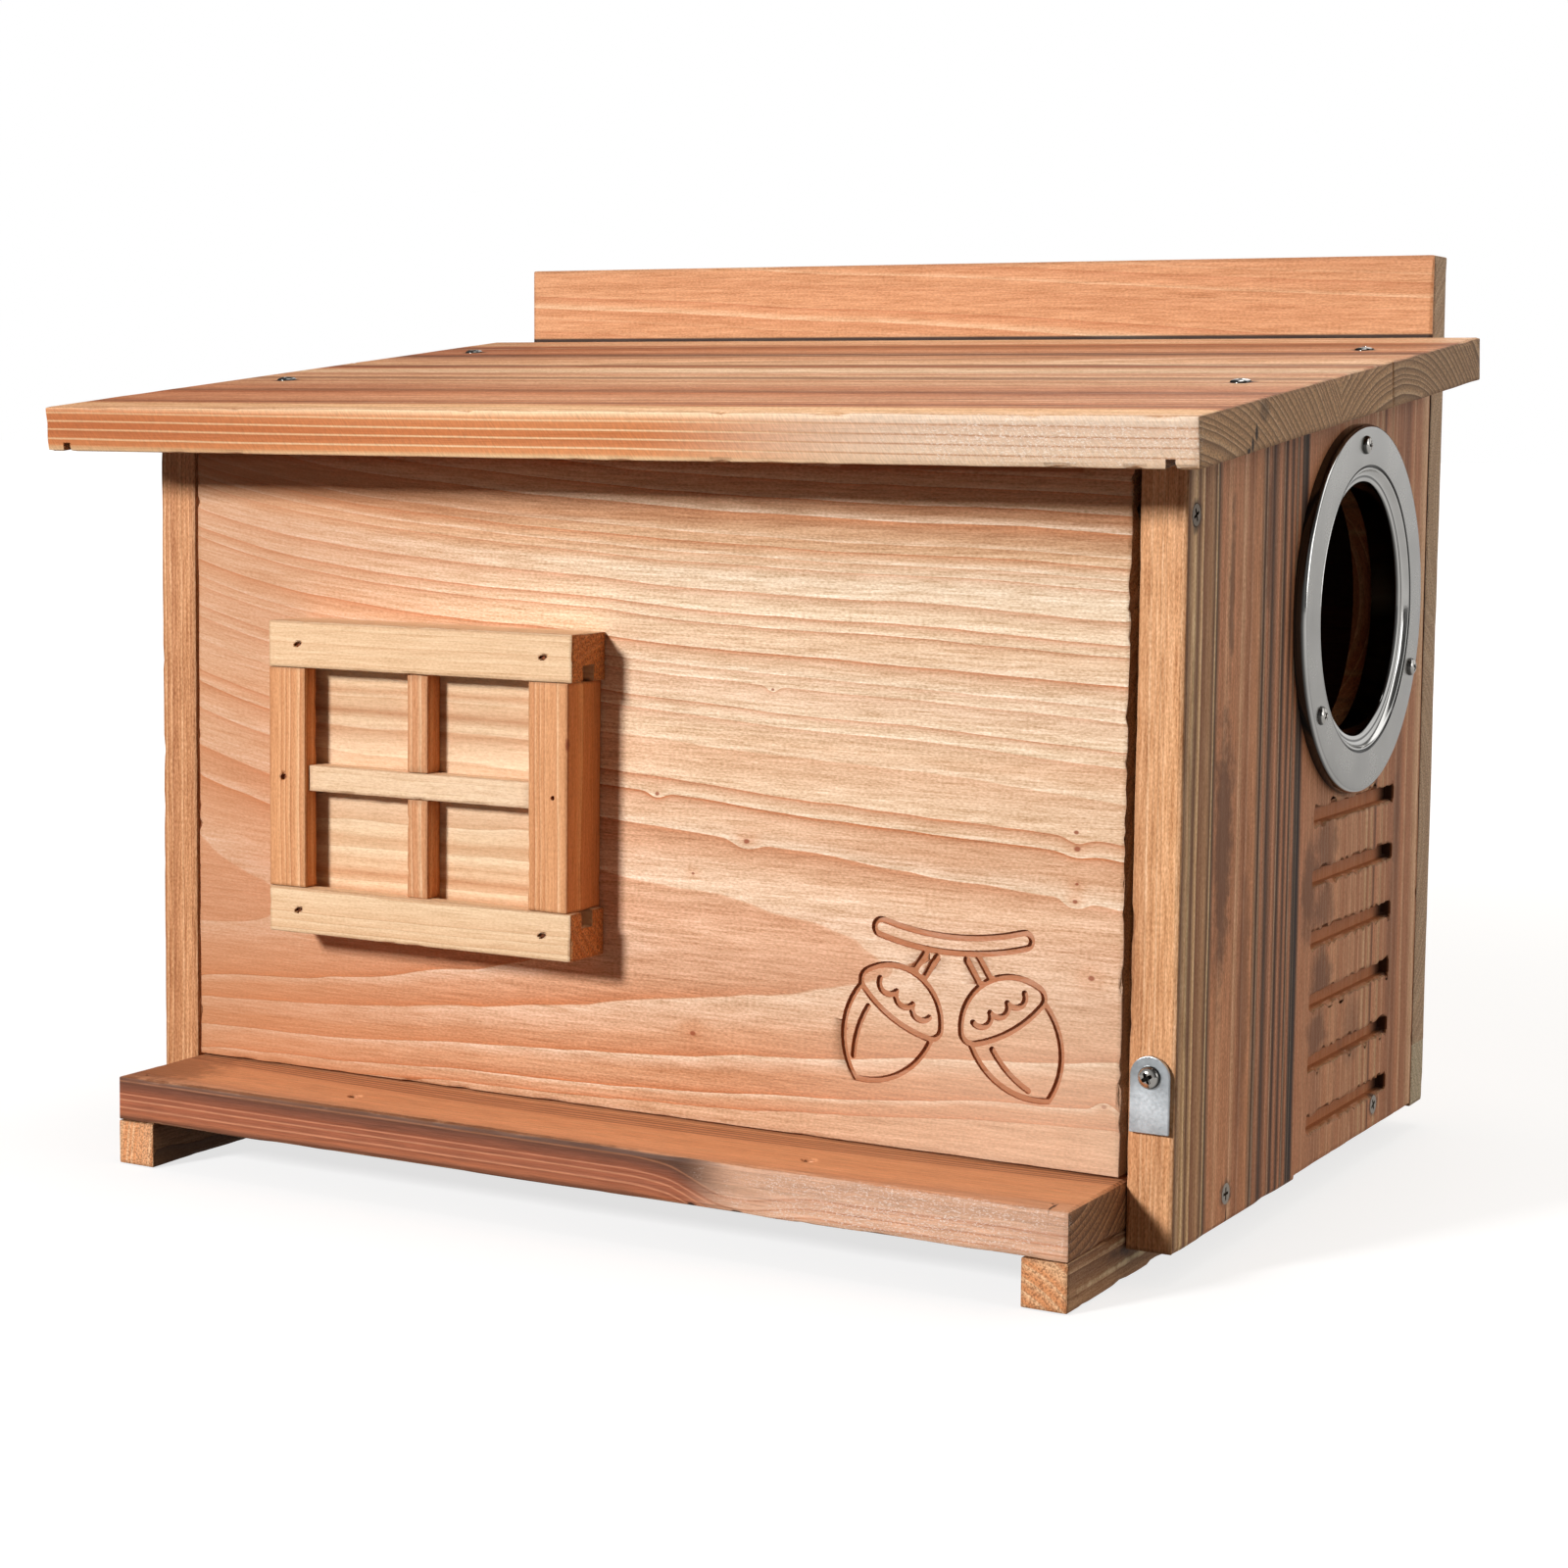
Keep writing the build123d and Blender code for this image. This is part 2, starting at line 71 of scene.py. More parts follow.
class Value:
    """A number, vector or colour on its way through a shader tree. It is added and multiplied as
    a number is, by one Math node each time."""

    def __init__(self, socket):
        self.socket = socket
        self.tree = socket.id_data

    def feed(self, target):
        """Runs it into an input."""
        self.tree.links.new(self.socket, target)

    def math(self, operation, *others):
        """The result of a Math node fed with this value, then the others."""
        return node(self.tree, "Math", enumerate((self, *others)), operation=operation)[0]

    def vector(self, operation, *others):
        """The result of a Vector Math node: a vector, or a number where it gives one."""
        made = node(self.tree, "VectorMath", enumerate((self, *others)), operation=operation)
        return made[1 if operation in ("LENGTH", "DOT_PRODUCT") else 0]

    def parts(self):
        """Its x, y and z."""
        made = node(self.tree, "SeparateXYZ", {0: self})
        return [made[axis] for axis in range(3)]

    def laid(self, over, share=1.0, way="MIX"):
        """This colour, with another laid on it by the share."""
        return node(self.tree, "Mix", {0: share, 6: self, 7: over}, data_type="RGBA", blend_type=way)[2]

    __add__ = partialmethod(math, "ADD")
    __sub__ = partialmethod(math, "SUBTRACT")
    __mul__ = partialmethod(math, "MULTIPLY")
    __truediv__ = partialmethod(math, "DIVIDE")
    __pow__ = partialmethod(math, "POWER")
    __abs__ = partialmethod(math, "ABSOLUTE")


def stretched_noise(place, stretch, shift=(0, 0, 0), detail=2.0, roughness=0.5, gives="Fac"):
    """Noise read at place * stretch + shift, so a small stretch draws it out along that axis."""
    return node(place.tree, "TexNoise", {"Vector": place.vector("MULTIPLY_ADD", stretch, shift),
                                         "Scale": 1.0, "Detail": detail, "Roughness": roughness})[gives]


def rise(value, low, high):
    """0 below low, 1 above high, and a smooth step between them; low may be the larger."""
    return node(value.tree, "MapRange", {"Value": value, "From Min": low, "From Max": high},
                interpolation_type="SMOOTHSTEP")[0]


def ramp(value, *stops):
    """The value looked up between stops of (place, grey or tone)."""
    made = node(value.tree, "ValToRGB", {"Fac": value})["Color"]
    band = made.socket.node.color_ramp
    while len(band.elements) < len(stops):
        band.elements.new(0.5)
    for element, (place, shade) in zip(band.elements, stops):
        element.position = place
        element.color = shade if isinstance(shade, tuple) else (shade, shade, shade, 1.0)
    return made


def new_group(name, inputs, outputs):
    """An empty shader node group, the values it is given and its outputs' ends. Sockets are listed
    as a kind and the names of that kind."""
    group = bpy.data.node_groups.new(name, "ShaderNodeTree")
    for way, sockets in (("INPUT", inputs), ("OUTPUT", outputs)):
        for kind, labels in sockets.items():
            for label in labels.split(", "):
                group.interface.new_socket(label, in_out=way, socket_type="NodeSocket" + kind)
    given = {socket.name: Value(socket) for socket in group.nodes.new("NodeGroupInput").outputs}
    return group, given, group.nodes.new("NodeGroupOutput").inputs


def fir_grain():
    """Solid fir with the grain along X.

    A point's ring number is its distance from the pith line over the ring width. The pith line
    leans, and slow noise bends it. Each ring starts pale, darkens slowly outwards and ends sharply.
    Fibres are noise drawn out along X, streaks a longer and coarser one, and their sum to the power
    of the contrast shades the colour. Sawn ends have tones of their own, with open pores.
    """
    group, given, out = new_group(
        "fir_grain",
        {"Vector": "Place, Pith, Lean", "Float": "Ring, Wander, Push, Lines, Seed, Contrast, End",
         "Color": "Early, Late, Heart, Pale, Sawn, Sawn Line"},
        {"Color": "Color", "Float": "Roughness, Height"})
    place, seed = given["Place"], given["Seed"]
    slow = stretched_noise(place, (5, 13, 13), seed, gives="Color")
    ripple = stretched_noise(place, (24, 60, 60), seed, gives="Color")
    bend = ripple.vector("MULTIPLY_ADD", (0.22, 0.22, 0.22), slow)
    bend = bend.vector("SUBTRACT", (0.61, 0.61, 0.61)).vector("MULTIPLY", given["Wander"])
    pith = given["Pith"].vector("ADD", given["Lean"].vector("MULTIPLY", place.parts()[0]))
    across = place.vector("SUBTRACT", pith).vector("ADD", bend).vector("MULTIPLY", (0, 1, 1))
    radius = across.vector("LENGTH")
    uneven = node(group, "TexNoise", {"W": radius + seed, "Scale": 90.0, "Detail": 1.0},
                  noise_dimensions="1D")["Fac"]
    rings = uneven * 3.0 + radius / given["Ring"] + given["Push"]
    own = node(group, "TexWhiteNoise", {"W": rings.math("FLOOR") + seed}, noise_dimensions="1D")["Value"]
    part = rings.math("FRACT")
    fibre = stretched_noise(place, (60, 1200, 1200), seed, 4.0, 0.74)
    speck = stretched_noise(place, (800, 2000, 2000), seed, 1.0)
    dark = ramp(part, (0.0, 0.0), (0.25, 0.1), (0.55, 0.3), (0.82, 0.62), (0.95, 1.0), (0.985, 1.0),
                (1.0, 0.0))
    dark = dark * (own * 0.85 + 0.15) * (fibre * 1.2 + 0.4)
    pale = ramp(part, (0.0, 0.8), (0.02, 1.0), (0.12, 0.6), (0.35, 0.0)) * own

    streak = stretched_noise(place, (14, 420, 420), seed, 3.0, 0.65)
    broad = stretched_noise(place, (1.6, 26, 26), seed, 1.0)
    colour = given["Early"].laid(given["Heart"], rise(broad, 0.38, 0.62))
    colour = colour.laid(given["Pale"], pale * 0.6).laid(given["Late"], dark * given["Lines"])
    shade = (streak - 0.5) * 0.5 + (fibre - 0.5) * 1.4 + (speck - 0.5) * 0.8 + 1.0
    shade = shade.math("MAXIMUM", 0.05) ** given["Contrast"]
    warm = node(group, "CombineColor", {0: shade ** 0.7, 1: shade, 2: shade ** 1.35})[0]

    pores = stretched_noise(place, (1500, 1500, 1500), seed, 2.0, 0.6)
    arcs = ramp(part, (0.0, 0.15), (0.3, 0.1), (0.7, 0.6), (0.88, 1.0), (0.96, 1.0), (1.0, 0.15))
    sawn = given["Sawn"].laid(given["Sawn Line"], arcs * pores * 1.28).laid(given["Pale"], pale * 0.35)
    sawn = sawn.laid(ramp(pores, (0.36, 0.5), (0.5, 0.97), (0.64, 1.25)), 0.85, "MULTIPLY")
    colour.laid(warm, 1.0, "MULTIPLY").laid(sawn, given["End"]).feed(out["Color"])
    (fibre * -0.25 + 0.72).feed(out["Roughness"])
    (dark * 0.3 + fibre * 0.7 + pores * given["End"] * 1.6).feed(out["Height"])
    return group


FIR_GRAIN = fir_grain()
CROSSWISE = {"X": (0, 1, 2), "Y": (1, 0, 2), "Z": (2, 0, 1)}
CREAM, HONEY, TAN = (238, 204, 166), (232, 184, 142), (214, 152, 112)
RUST, UMBER, CHAR, SOOT = (190, 116, 76), (146, 92, 60), (112, 70, 46), (62, 40, 28)
OLIVE, CLAY, STRAW, TAR = (190, 142, 102), (206, 138, 98), (226, 190, 144), (46, 28, 20)


def swung(value, grain):
    """A vector with its axes put in the order grain, then the other two."""
    parts = value.parts()
    return node(value.tree, "CombineXYZ", enumerate(parts[n] for n in CROSSWISE[grain]))[0]


def stripes(start, rows, scale=0.001):
    """Stops of (place, tone) from rows of an offset in millimetres and its tone."""
    return tuple((start + offset * scale, shade) for offset, *shade in rows)


def banded(place, axis, wobble, stops, seed):
    """Tones across a board, looked up at its place on one axis across the grain, which slow noise
    drawn out along the grain moves by up to wobble."""
    low, high = stops[0][0], stops[-1][0]
    drift = stretched_noise(place, (7, 90, 90), (seed, 5, 9))
    spot = (drift - 0.5) * (2 * wobble) + place.parts()[axis]
    return ramp((spot - low) / (high - low),
                *(((at - low) / (high - low), tone(*shade)) for at, shade in stops))


def new_material(name):
    """A material with its tree and the inputs of its shader."""
    material = bpy.data.materials.new(name)
    material.use_nodes = True
    tree = material.node_tree
    return material, tree, tree.nodes["Principled BSDF"].inputs


def fir(name, grain, pith, ring, early=TAN, late=UMBER, heart=RUST, pale=(240, 205, 165), sawn=(176, 124, 84),
        sawn_line=(206, 168, 126), lean=(0, 0), wander=0.004, lines=0.8, seed=0.0, bands=None,
        warp=None, contrast=1.0):
    """A board's own material: fir grain read at its place, its sawn ends darker, its arrises browned.

    pith is where the heart of the log lies on the two axes across the grain, and lean is how far
    it moves for each metre along the grain. lines and contrast say how strongly the rings and the
    fibres show. bands are (axis, wobble, stops of place and tone) for boards whose tone changes
    across them, and warp bends the place first.
    """
    material, tree, shader = new_material(name)
    where = node(tree, "TexCoord")
    facing = swung(where["Normal"], grain).parts()[0]
    place = swung(warp(where["Object"]) if warp else where["Object"], grain)
    early, heart = tone(*early), tone(*heart)
    if bands:
        early = banded(place, *bands, seed)
        heart = early.laid(tone(238, 230, 226), 1.0, "MULTIPLY")
    wood = node(tree, "Group", {
        "Place": place, "Pith": (0, *pith), "Lean": (0, *lean), "Ring": ring, "Wander": wander,
        "Lines": lines, "Seed": seed, "Contrast": contrast, "End": rise(abs(facing), 0.6, 0.9),
        "Early": early, "Late": tone(*late), "Heart": heart, "Pale": tone(*pale),
        "Sawn": tone(*sawn), "Sawn Line": tone(*sawn_line)}, node_tree=FIR_GRAIN)
    worn = node(tree, "Attribute", attribute_name="arris")["Fac"]
    wood["Color"].laid(tone(120, 80, 52), worn * 0.3).feed(shader["Base Color"])
    wood["Roughness"].feed(shader["Roughness"])
    relief = node(tree, "Bump", {"Strength": 0.7, "Distance": 0.0003, "Height": wood["Height"]})
    relief[0].feed(shader["Normal"])
    shader["Specular IOR Level"].default_value = 0.3
    return material


def place_on(material):
    """The place of a point on the piece that has the material."""
    return node(material.node_tree, "TexCoord")["Object"]


def overlaid(material, mask, over, way="MIX"):
    """Lays a tone or a value on what a board already shows, by a mask: its own tones and marks, and painted
    shade as well.
    """
    shown = material.node_tree.nodes["Principled BSDF"].inputs["Base Color"]
    over = over if isinstance(over, Value) else tone(*over)
    Value(shown.links[0].from_socket).laid(over, mask, way).feed(shown)


def cell_noise(points, cell, seed):
    """Smooth noise from 0 to 1 in space: each corner of a lattice of cells has a number of its
    own, the fraction of a large sine, and a point takes their weighted mean."""
    spots = points / cell
    low = np.floor(spots)
    part = spots - low
    part = part * part * (3 - 2 * part)
    total = np.zeros(len(points))
    for corner in np.ndindex(2, 2, 2):
        key = (low + corner) @ (127.1, 311.7, 74.7) + seed * 17.3
        weight = np.prod(np.where(corner, part, 1 - part), axis=1)
        total += weight * (np.sin(key) * 43758.5453 % 1)
    return total


def cut_across(shape, point, normal):
    """Cuts every face of the shape where a plane crosses it."""
    bmesh.ops.bisect_plane(shape, geom=shape.verts[:] + shape.edges[:] + shape.faces[:], dist=1e-7,
                           plane_co=point, plane_no=normal)


def added(name, data):
    """A new object of the scene."""
    thing = bpy.data.objects.new(name, data)
    bpy.context.scene.collection.objects.link(thing)
    return thing


def worn_board(node_name, material, body="house", glued=(),
               steps=(0.004, 0.009, 0.009), ease=0.0006, wander=0.0003, bites=0.0008, margin=0.0016,
               seed=0, pits=(), shortest=0.006):
    """A merged copy of a CAD board with its arrises rounded and worn.

    Its faces are cut into strips, `steps` apart along each axis, and `margin` inside each arris.
    A point on an arris moves in against its normal by wander * slow noise + bites * the top of a
    quick noise. Arrises in the planes `glued`, each a point and a normal, stay sharp. A pit is
    (middle, half width along X, half width along the other axis, depth, slant): the face there
    sinks against its normal by depth * a smooth step of the distance over the half widths.
    """
    rng = np.random.default_rng(seed)
    shape = bmesh.new()
    shape.from_mesh(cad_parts[node_name].data)
    on_arris = shape.faces.layers.int.new("on_arris")
    bmesh.ops.remove_doubles(shape, verts=shape.verts, dist=1e-6)
    bmesh.ops.dissolve_limit(shape, angle_limit=0.01, verts=shape.verts, edges=shape.edges)
    sides = [(face.calc_center_median(), face.normal.copy()) for face in shape.faces
             if face.calc_area() > 1e-4]
    seams = [(Vector(point), Vector(normal)) for point, normal in glued]
    arrises = [edge for edge in shape.edges
               if edge.is_manifold and edge.is_convex and edge.calc_length() > shortest
               and edge.calc_face_angle() > 0.5
               and not any(all(abs((v.co - point).dot(normal)) < 2e-5 for v in edge.verts)
                           for point, normal in seams)]
    rounds = bmesh.ops.bevel(shape, geom=arrises, offset=ease, offset_type="OFFSET", segments=2,
                             profile=0.5, affect="EDGES", clamp_overlap=True)["faces"]
    for face in rounds:
        face[on_arris] = 1
    for point, normal in sides:
        if not any(abs((point - seam).dot(across)) < 2e-5 for seam, across in seams):
            cut_across(shape, point - normal * margin, normal)
    corners = np.array([vertex.co for vertex in shape.verts])
    for axis, step in enumerate(steps):
        low, high = corners[:, axis].min(), corners[:, axis].max()
        if high - low > 2 * step:
            for place in np.arange(low + step, high - step / 2, step):
                spot = Vector((0, 0, 0))
                spot[axis] = place + rng.uniform(-0.3, 0.3) * step
                cut_across(shape, spot, Vector([float(n == axis) for n in range(3)]))
    for (x, y, z), half, *_ in pits:
        upright = node_name.startswith("window")
        for offset in np.linspace(-1.15, 1.15, 9):
            cut_across(shape, (x + offset * half, 0, 0), (1, 0, 0))
            cut_across(shape, (0, y + offset * half, z + offset * half), (0, not upright, upright))
    shape.normal_update()
    points = np.array([vertex.co for vertex in shape.verts])
    normals = np.array([vertex.normal for vertex in shape.verts])
    arris = np.array([any(face[on_arris] for face in vertex.link_faces) for vertex in shape.verts])
    depth = wander * cell_noise(points, 0.013, seed)
    depth += bites * np.clip((cell_noise(points, 0.0035, seed + 1) - 0.68) / 0.32, 0, 1)
    points -= normals * (depth * arris)[:, None]
    for middle, half, thin, deep, slant in pits:
        offset = points - middle
        up = offset[:, 2] + offset[:, 1] * (np.abs(normals[:, 2]) > 0.5)
        far = np.hypot((offset[:, 0] * cos(slant) + up * sin(slant)) / half,
                       (up * cos(slant) - offset[:, 0] * sin(slant)) / thin)
        near = np.linalg.norm(offset, axis=1) < half * 1.6
        points -= normals * (deep * near * np.clip(1.6 - 1.6 * far, 0, 1))[:, None]
    mesh = bpy.data.meshes.new(node_name + "_worn")
    shape.to_mesh(mesh)
    shape.free()
    mesh.vertices.foreach_set("co", points.ravel())
    mesh.attributes.new("arris", "FLOAT", "POINT").data.foreach_set("value", arris.astype(np.float32))
    mesh.materials.append(material)
    mesh.update()
    piece = added(node_name + "_worn", mesh)
    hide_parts(node_name)
    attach(piece, body)
    return piece


def patch_mask():
    """A patch for a burnt or rubbed mark, or for painted shade: 1 at its middle, 0 where the distance from
    it, over the patch's half sizes and broken up by noise, is past 1."""
    group, given, out = new_group("patch_mask", {"Vector": "Place, Middle, Half"}, {"Float": "Mask"})
    share = given["Place"].vector("SUBTRACT", given["Middle"]).vector("DIVIDE", given["Half"])
    broken = stretched_noise(given["Place"], (160, 160, 160), detail=4.0, roughness=0.65)
    rise((broken - 0.5) * 1.3 + share.vector("LENGTH"), 1.0, 0.35).feed(out["Mask"])
    return group


PATCH_MASK = patch_mask()


def patch(material, middle, half):
    """Where a patch with this middle and these half sizes lies on a board."""
    return node(material.node_tree, "Group", {"Place": place_on(material), "Middle": middle,
                                              "Half": half}, node_tree=PATCH_MASK)["Mask"]


def burns_and_shade(material, colour, *patches):
    """Lays a colour on the board in patches of (middle, half sizes, strength)."""
    for middle, half, strength in patches:
        overlaid(material, patch(material, middle, half) * strength, colour)


def fuzz_highlights(material, colour, *patches):
    """Raised, broken fibres as fine specks of a pale colour, painted highlights where they catch the light,
    in patches of (middle, half sizes)."""
    specks = stretched_noise(place_on(material), (1100, 2400, 2400), detail=3.0, roughness=0.7)
    specks = rise(specks, 0.52, 0.62)
    for middle, half in patches:
        overlaid(material, patch(material, middle, half) * specks * 0.65, colour)


PERCH_FRONT, PERCH_LEVEL, HOUSE_FRONT = -0.1455, 0.03, -0.1035
FLOOR_SEAM = ((0, -0.0075, 0), (0, 1, 0))
perch_wood = fir("perch_wood", "X", (-0.152, 0.075), 0.0026, (222, 154, 110), RUST, (210, 142, 100),
                 pale=(240, 190, 146), sawn=(164, 112, 74), sawn_line=(58, 34, 22), lean=(0.01, 0.02),
                 wander=0.005, seed=3.0, lines=0.7, contrast=1.6)
PERCH_LEFT = stripes(0.015, (
    (0, 84, 52, 34), (1.2, 120, 70, 48), (2.6, 172, 98, 64), (4.0, 150, 82, 54), (4.4, 206, 134, 98),
    (5.0, 150, 82, 54), (6.6, 164, 90, 60), (7.0, 208, 138, 102), (7.5, 146, 78, 50), (8.6, 154, 82, 54),
    (8.9, 202, 130, 96), (9.4, 136, 72, 46), (11.6, 112, 60, 40), (12.8, 92, 52, 36), (13.3, 150, 96, 66),
    (13.7, 84, 48, 32), (15, 76, 44, 28)))
PERCH_RIGHT = stripes(0.015, (
    (0, 206, 146, 112), (1.5, 232, 180, 148), (3.2, 232, 180, 148), (3.6, 196, 134, 102),
    (4.1, 236, 188, 156), (6.4, 234, 184, 152), (6.8, 200, 138, 106), (7.3, 238, 192, 162),
    (9.2, 232, 182, 150), (9.6, 196, 134, 104), (10.1, 236, 190, 160), (12.2, 226, 176, 146),
    (12.7, 196, 140, 112), (13.2, 230, 186, 158), (15, 214, 170, 142)))
PERCH_TOP = stripes(PERCH_FRONT, (
    (0, 206, 150, 116), (1.2, 196, 136, 100), (3, 216, 150, 108), (9, 228, 160, 114), (17, 222, 154, 108),
    (24, 224, 158, 112), (28, 214, 148, 104), (29.2, 120, 70, 42), (30.4, 216, 152, 108),
    (31.6, 116, 68, 40), (32.8, 220, 156, 112), (34.0, 104, 60, 36), (35.2, 214, 150, 106),
    (36.4, 100, 58, 34), (37.4, 214, 152, 108), (38.4, 130, 78, 48), (39, 226, 168, 124), (41, 190, 130, 90),
    (42, 216, 158, 114)))


def perch_tones(material):
    """Stripes on the perch's front face, reddish brown to the left of a swirl and pale pink to its
    right, and on its top. The swirl moves the stripes down by up to 5 mm as x goes up. Fine fibres
    shade them all."""
    place = place_on(material)
    x, y, z = place.parts()
    swirl = rise(x, 0.025, 0.075) * 0.005
    drop = rise(x, 0.04, 0.062) * rise(x, 0.095, 0.062) * 0.004
    bowed = abs(x) ** 2.0 * -0.25 + y
    bent = node(material.node_tree, "CombineXYZ", {0: x, 1: bowed, 2: z + swirl + drop})[0]
    face = rise(y, PERCH_FRONT + 0.0007, PERCH_FRONT + 0.0002)
    top = rise(z, PERCH_LEVEL - 0.0007, PERCH_LEVEL - 0.0002)
    top *= rise(y, PERCH_FRONT + 0.0002, PERCH_FRONT + 0.0009)
    top *= rise(y, HOUSE_FRONT + 0.005, HOUSE_FRONT + 0.002)
    overlaid(material, top * 0.75, banded(bent, 1, 0.0022, PERCH_TOP, 4))
    overlaid(material, face * 0.75, banded(bent, 2, 0.0007, PERCH_RIGHT, 4))
    overlaid(material, face * rise(x, 0.07, 0.045) * 0.95, banded(bent, 2, 0.0006, PERCH_LEFT, 6))
    fibre = stretched_noise(place, (70, 1300, 1300), (3, 1, 2), 4.0, 0.78)
    overlaid(material, 0.8, (fibre - 0.5) * 1.5 + 1.0, "MULTIPLY")


perch_tones(perch_wood)
burns_and_shade(perch_wood, CHAR, ((-0.1, -0.1445, 0.0305), (0.1, 0.0016, 0.004), 0.8),
         ((-0.02, -0.1445, 0.0305), (0.07, 0.0014, 0.003), 0.7))
PERCH_HOLES = ((-0.088, -0.129, PERCH_LEVEL), (0.0823, -0.129, PERCH_LEVEL))
burns_and_shade(perch_wood, SOOT, *((hole, (0.0021, 0.0021, 0.004), 1.0) for hole in PERCH_HOLES),
         ((0.1685, -0.1425, PERCH_LEVEL), (0.0007, 0.0045, 0.003), 1.0),
         ((0.05, PERCH_FRONT, 0.0155), (0.0022, 0.003, 0.0012), 1.0),
         ((0.066, PERCH_FRONT, 0.0152), (0.003, 0.003, 0.0009), 1.0))
burns_and_shade(perch_wood, (120, 70, 44), ((-0.168, -0.128, PERCH_LEVEL), (0.026, 0.03, 0.003), 0.6))
# Painted highlights: pale specks of raised fibres on the perch's front.
fuzz_highlights(perch_wood, (252, 232, 218), ((0.13, PERCH_FRONT, 0.026), (0.08, 0.004, 0.006)),
       ((0.125, PERCH_FRONT, 0.019), (0.075, 0.004, 0.006)))
floor_wood = fir("floor_wood", "X", (0.07, -0.045), 0.004, seed=9.0)
worn_board("floor_perch_board", perch_wood, glued=(FLOOR_SEAM,), wander=0.0005, bites=0.0014, seed=1,
           pits=[(hole, 0.0024, 0.0024, 0.0035, 0) for hole in PERCH_HOLES])
worn_board("floor_rear_board", floor_wood, glued=(FLOOR_SEAM,), seed=2)

# Two battens under the floor, sawn from the same fir with the grain from front to back, and
# nailed on through the floor with brads.
BATTEN_SIDE = 0.1755
batten_wood = fir("batten_wood", "Y", (0.145, -0.03), 0.0034, (176, 128, 88), (84, 56, 38),
                  (150, 104, 70), sawn=(222, 142, 88), sawn_line=(250, 206, 160), seed=14.0, contrast=1.6)
burns_and_shade(batten_wood, SOOT, ((BATTEN_SIDE, -0.03, 0.0095), (0.004, 0.12, 0.003), 0.9),
         ((-0.1595, -0.06, 0.011), (0.004, 0.09, 0.005), 0.8))
burns_and_shade(batten_wood, (244, 218, 176), ((BATTEN_SIDE, -0.05, 0.0055), (0.004, 0.1, 0.0014), 1.0),
         ((BATTEN_SIDE, -0.07, 0.0125), (0.004, 0.06, 0.001), 0.8))
for seed, name in enumerate(("left_batten", "right_batten"), 4):
    worn_board(name, batten_wood, steps=(0.009, 0.004, 0.009), seed=seed)

# The sides: each is two upright fir boards glued edge to edge, browned with a torch so that the
# soft wood went dark in bands. The right side is cut for the entrance and the climbing grooves.
SIDE_FACE = 0.19
SIDE_SEAM = ((0, 0.0042, 0), (0, 1, 0))
ENTRANCE = (SIDE_FACE, 0.051, 0.1935)
RING_FACE, RING_BORE, RING_BREADTH, SCREW_CIRCLE = 0.1943, 0.042, 0.02, 0.0548
GROOVE_MIDDLES = 0.0247 + 0.0205 * np.arange(6)
GROOVE_HALF, GROOVE_FRONT, GROOVE_REAR = 0.0025, 0.015, 0.1


def reshaped(piece, move):
    """Hands the piece's points, in rows of x, y and z, to a function that moves them."""
    mesh = piece.data
    flat = np.zeros(len(mesh.vertices) * 3)
    mesh.vertices.foreach_get("co", flat)
    move(flat.reshape(-1, 3))
    mesh.vertices.foreach_set("co", flat)
    mesh.update()


def torn_grooves(points):
    """Moves the mouths of the grooves up or down by a quick noise along Y, as torn fibres lie."""
    for middle in GROOVE_MIDDLES:
        for side in (-1, 1):
            mouth = np.abs(points[:, 2] - middle - side * GROOVE_HALF) < 0.0009
            mouth &= points[:, 0] > SIDE_FACE - 0.0012
            mouth &= (points[:, 1] > GROOVE_FRONT + 0.0006) & (points[:, 1] < GROOVE_REAR - 0.0006)
            tear = 0.0026 * cell_noise(points[mouth], 0.0028, middle * 900 + side) ** 2.5
            points[mouth, 2] += side * tear


def open_joint(points):
    """Draws the board's rear edge forward by up to 1.8 mm towards its top, where the glued joint
    with the back has opened."""
    rear = points[:, 1] > 0.1298
    points[rear, 1] -= 0.0018 * np.clip((points[rear, 2] - 0.1) / 0.13, 0, 1)


def burnt_grooves(material):
    """Browns the inside of the grooves, darkest at their rear ends."""
    x, y, z = place_on(material).parts()
    inside = rise(x, SIDE_FACE - 0.0003, SIDE_FACE - 0.001)
    inside *= rise(x, SIDE_FACE - 0.005, SIDE_FACE - 0.0044) * rise(z, 0.134, 0.132)
    within = rise(y, GROOVE_FRONT - 0.001, GROOVE_FRONT + 0.0002)
    within *= rise(y, GROOVE_REAR + 0.001, GROOVE_REAR - 0.0002)
    overlaid(material, inside * within * 0.75, (176, 104, 58))
    rear_end = rise(y, GROOVE_REAR - 0.012, GROOVE_REAR) * rise(y, GROOVE_REAR + 0.0012, GROOVE_REAR + 0.0004)
    overlaid(material, inside * rear_end * 0.9, (44, 26, 18))


def from_axis(material):
    """How far a point is from the entrance's axis."""
    return place_on(material).vector("SUBTRACT", ENTRANCE).vector("MULTIPLY", (0, 1, 1)).vector("LENGTH")


def painted_hole_shade(material):
    """Painted shade: darkens the wall of the entrance hole behind the ring's sleeve, where little light
    reaches.
    """
    wall = rise(from_axis(material), RING_BORE + 0.0055, RING_BORE + 0.0035)
    wall *= rise(place_on(material).parts()[0], SIDE_FACE - 0.0015, SIDE_FACE - 0.004)
    overlaid(material, wall, (214, 190, 168), "MULTIPLY")


def on_side(half_depth, *patches):
    """Patches on the right side's face from (y, z, half y, half z, strength)."""
    return [((SIDE_FACE, y, z), (half_depth, half_y, half_z), strength)
            for y, z, half_y, half_z, strength in patches]


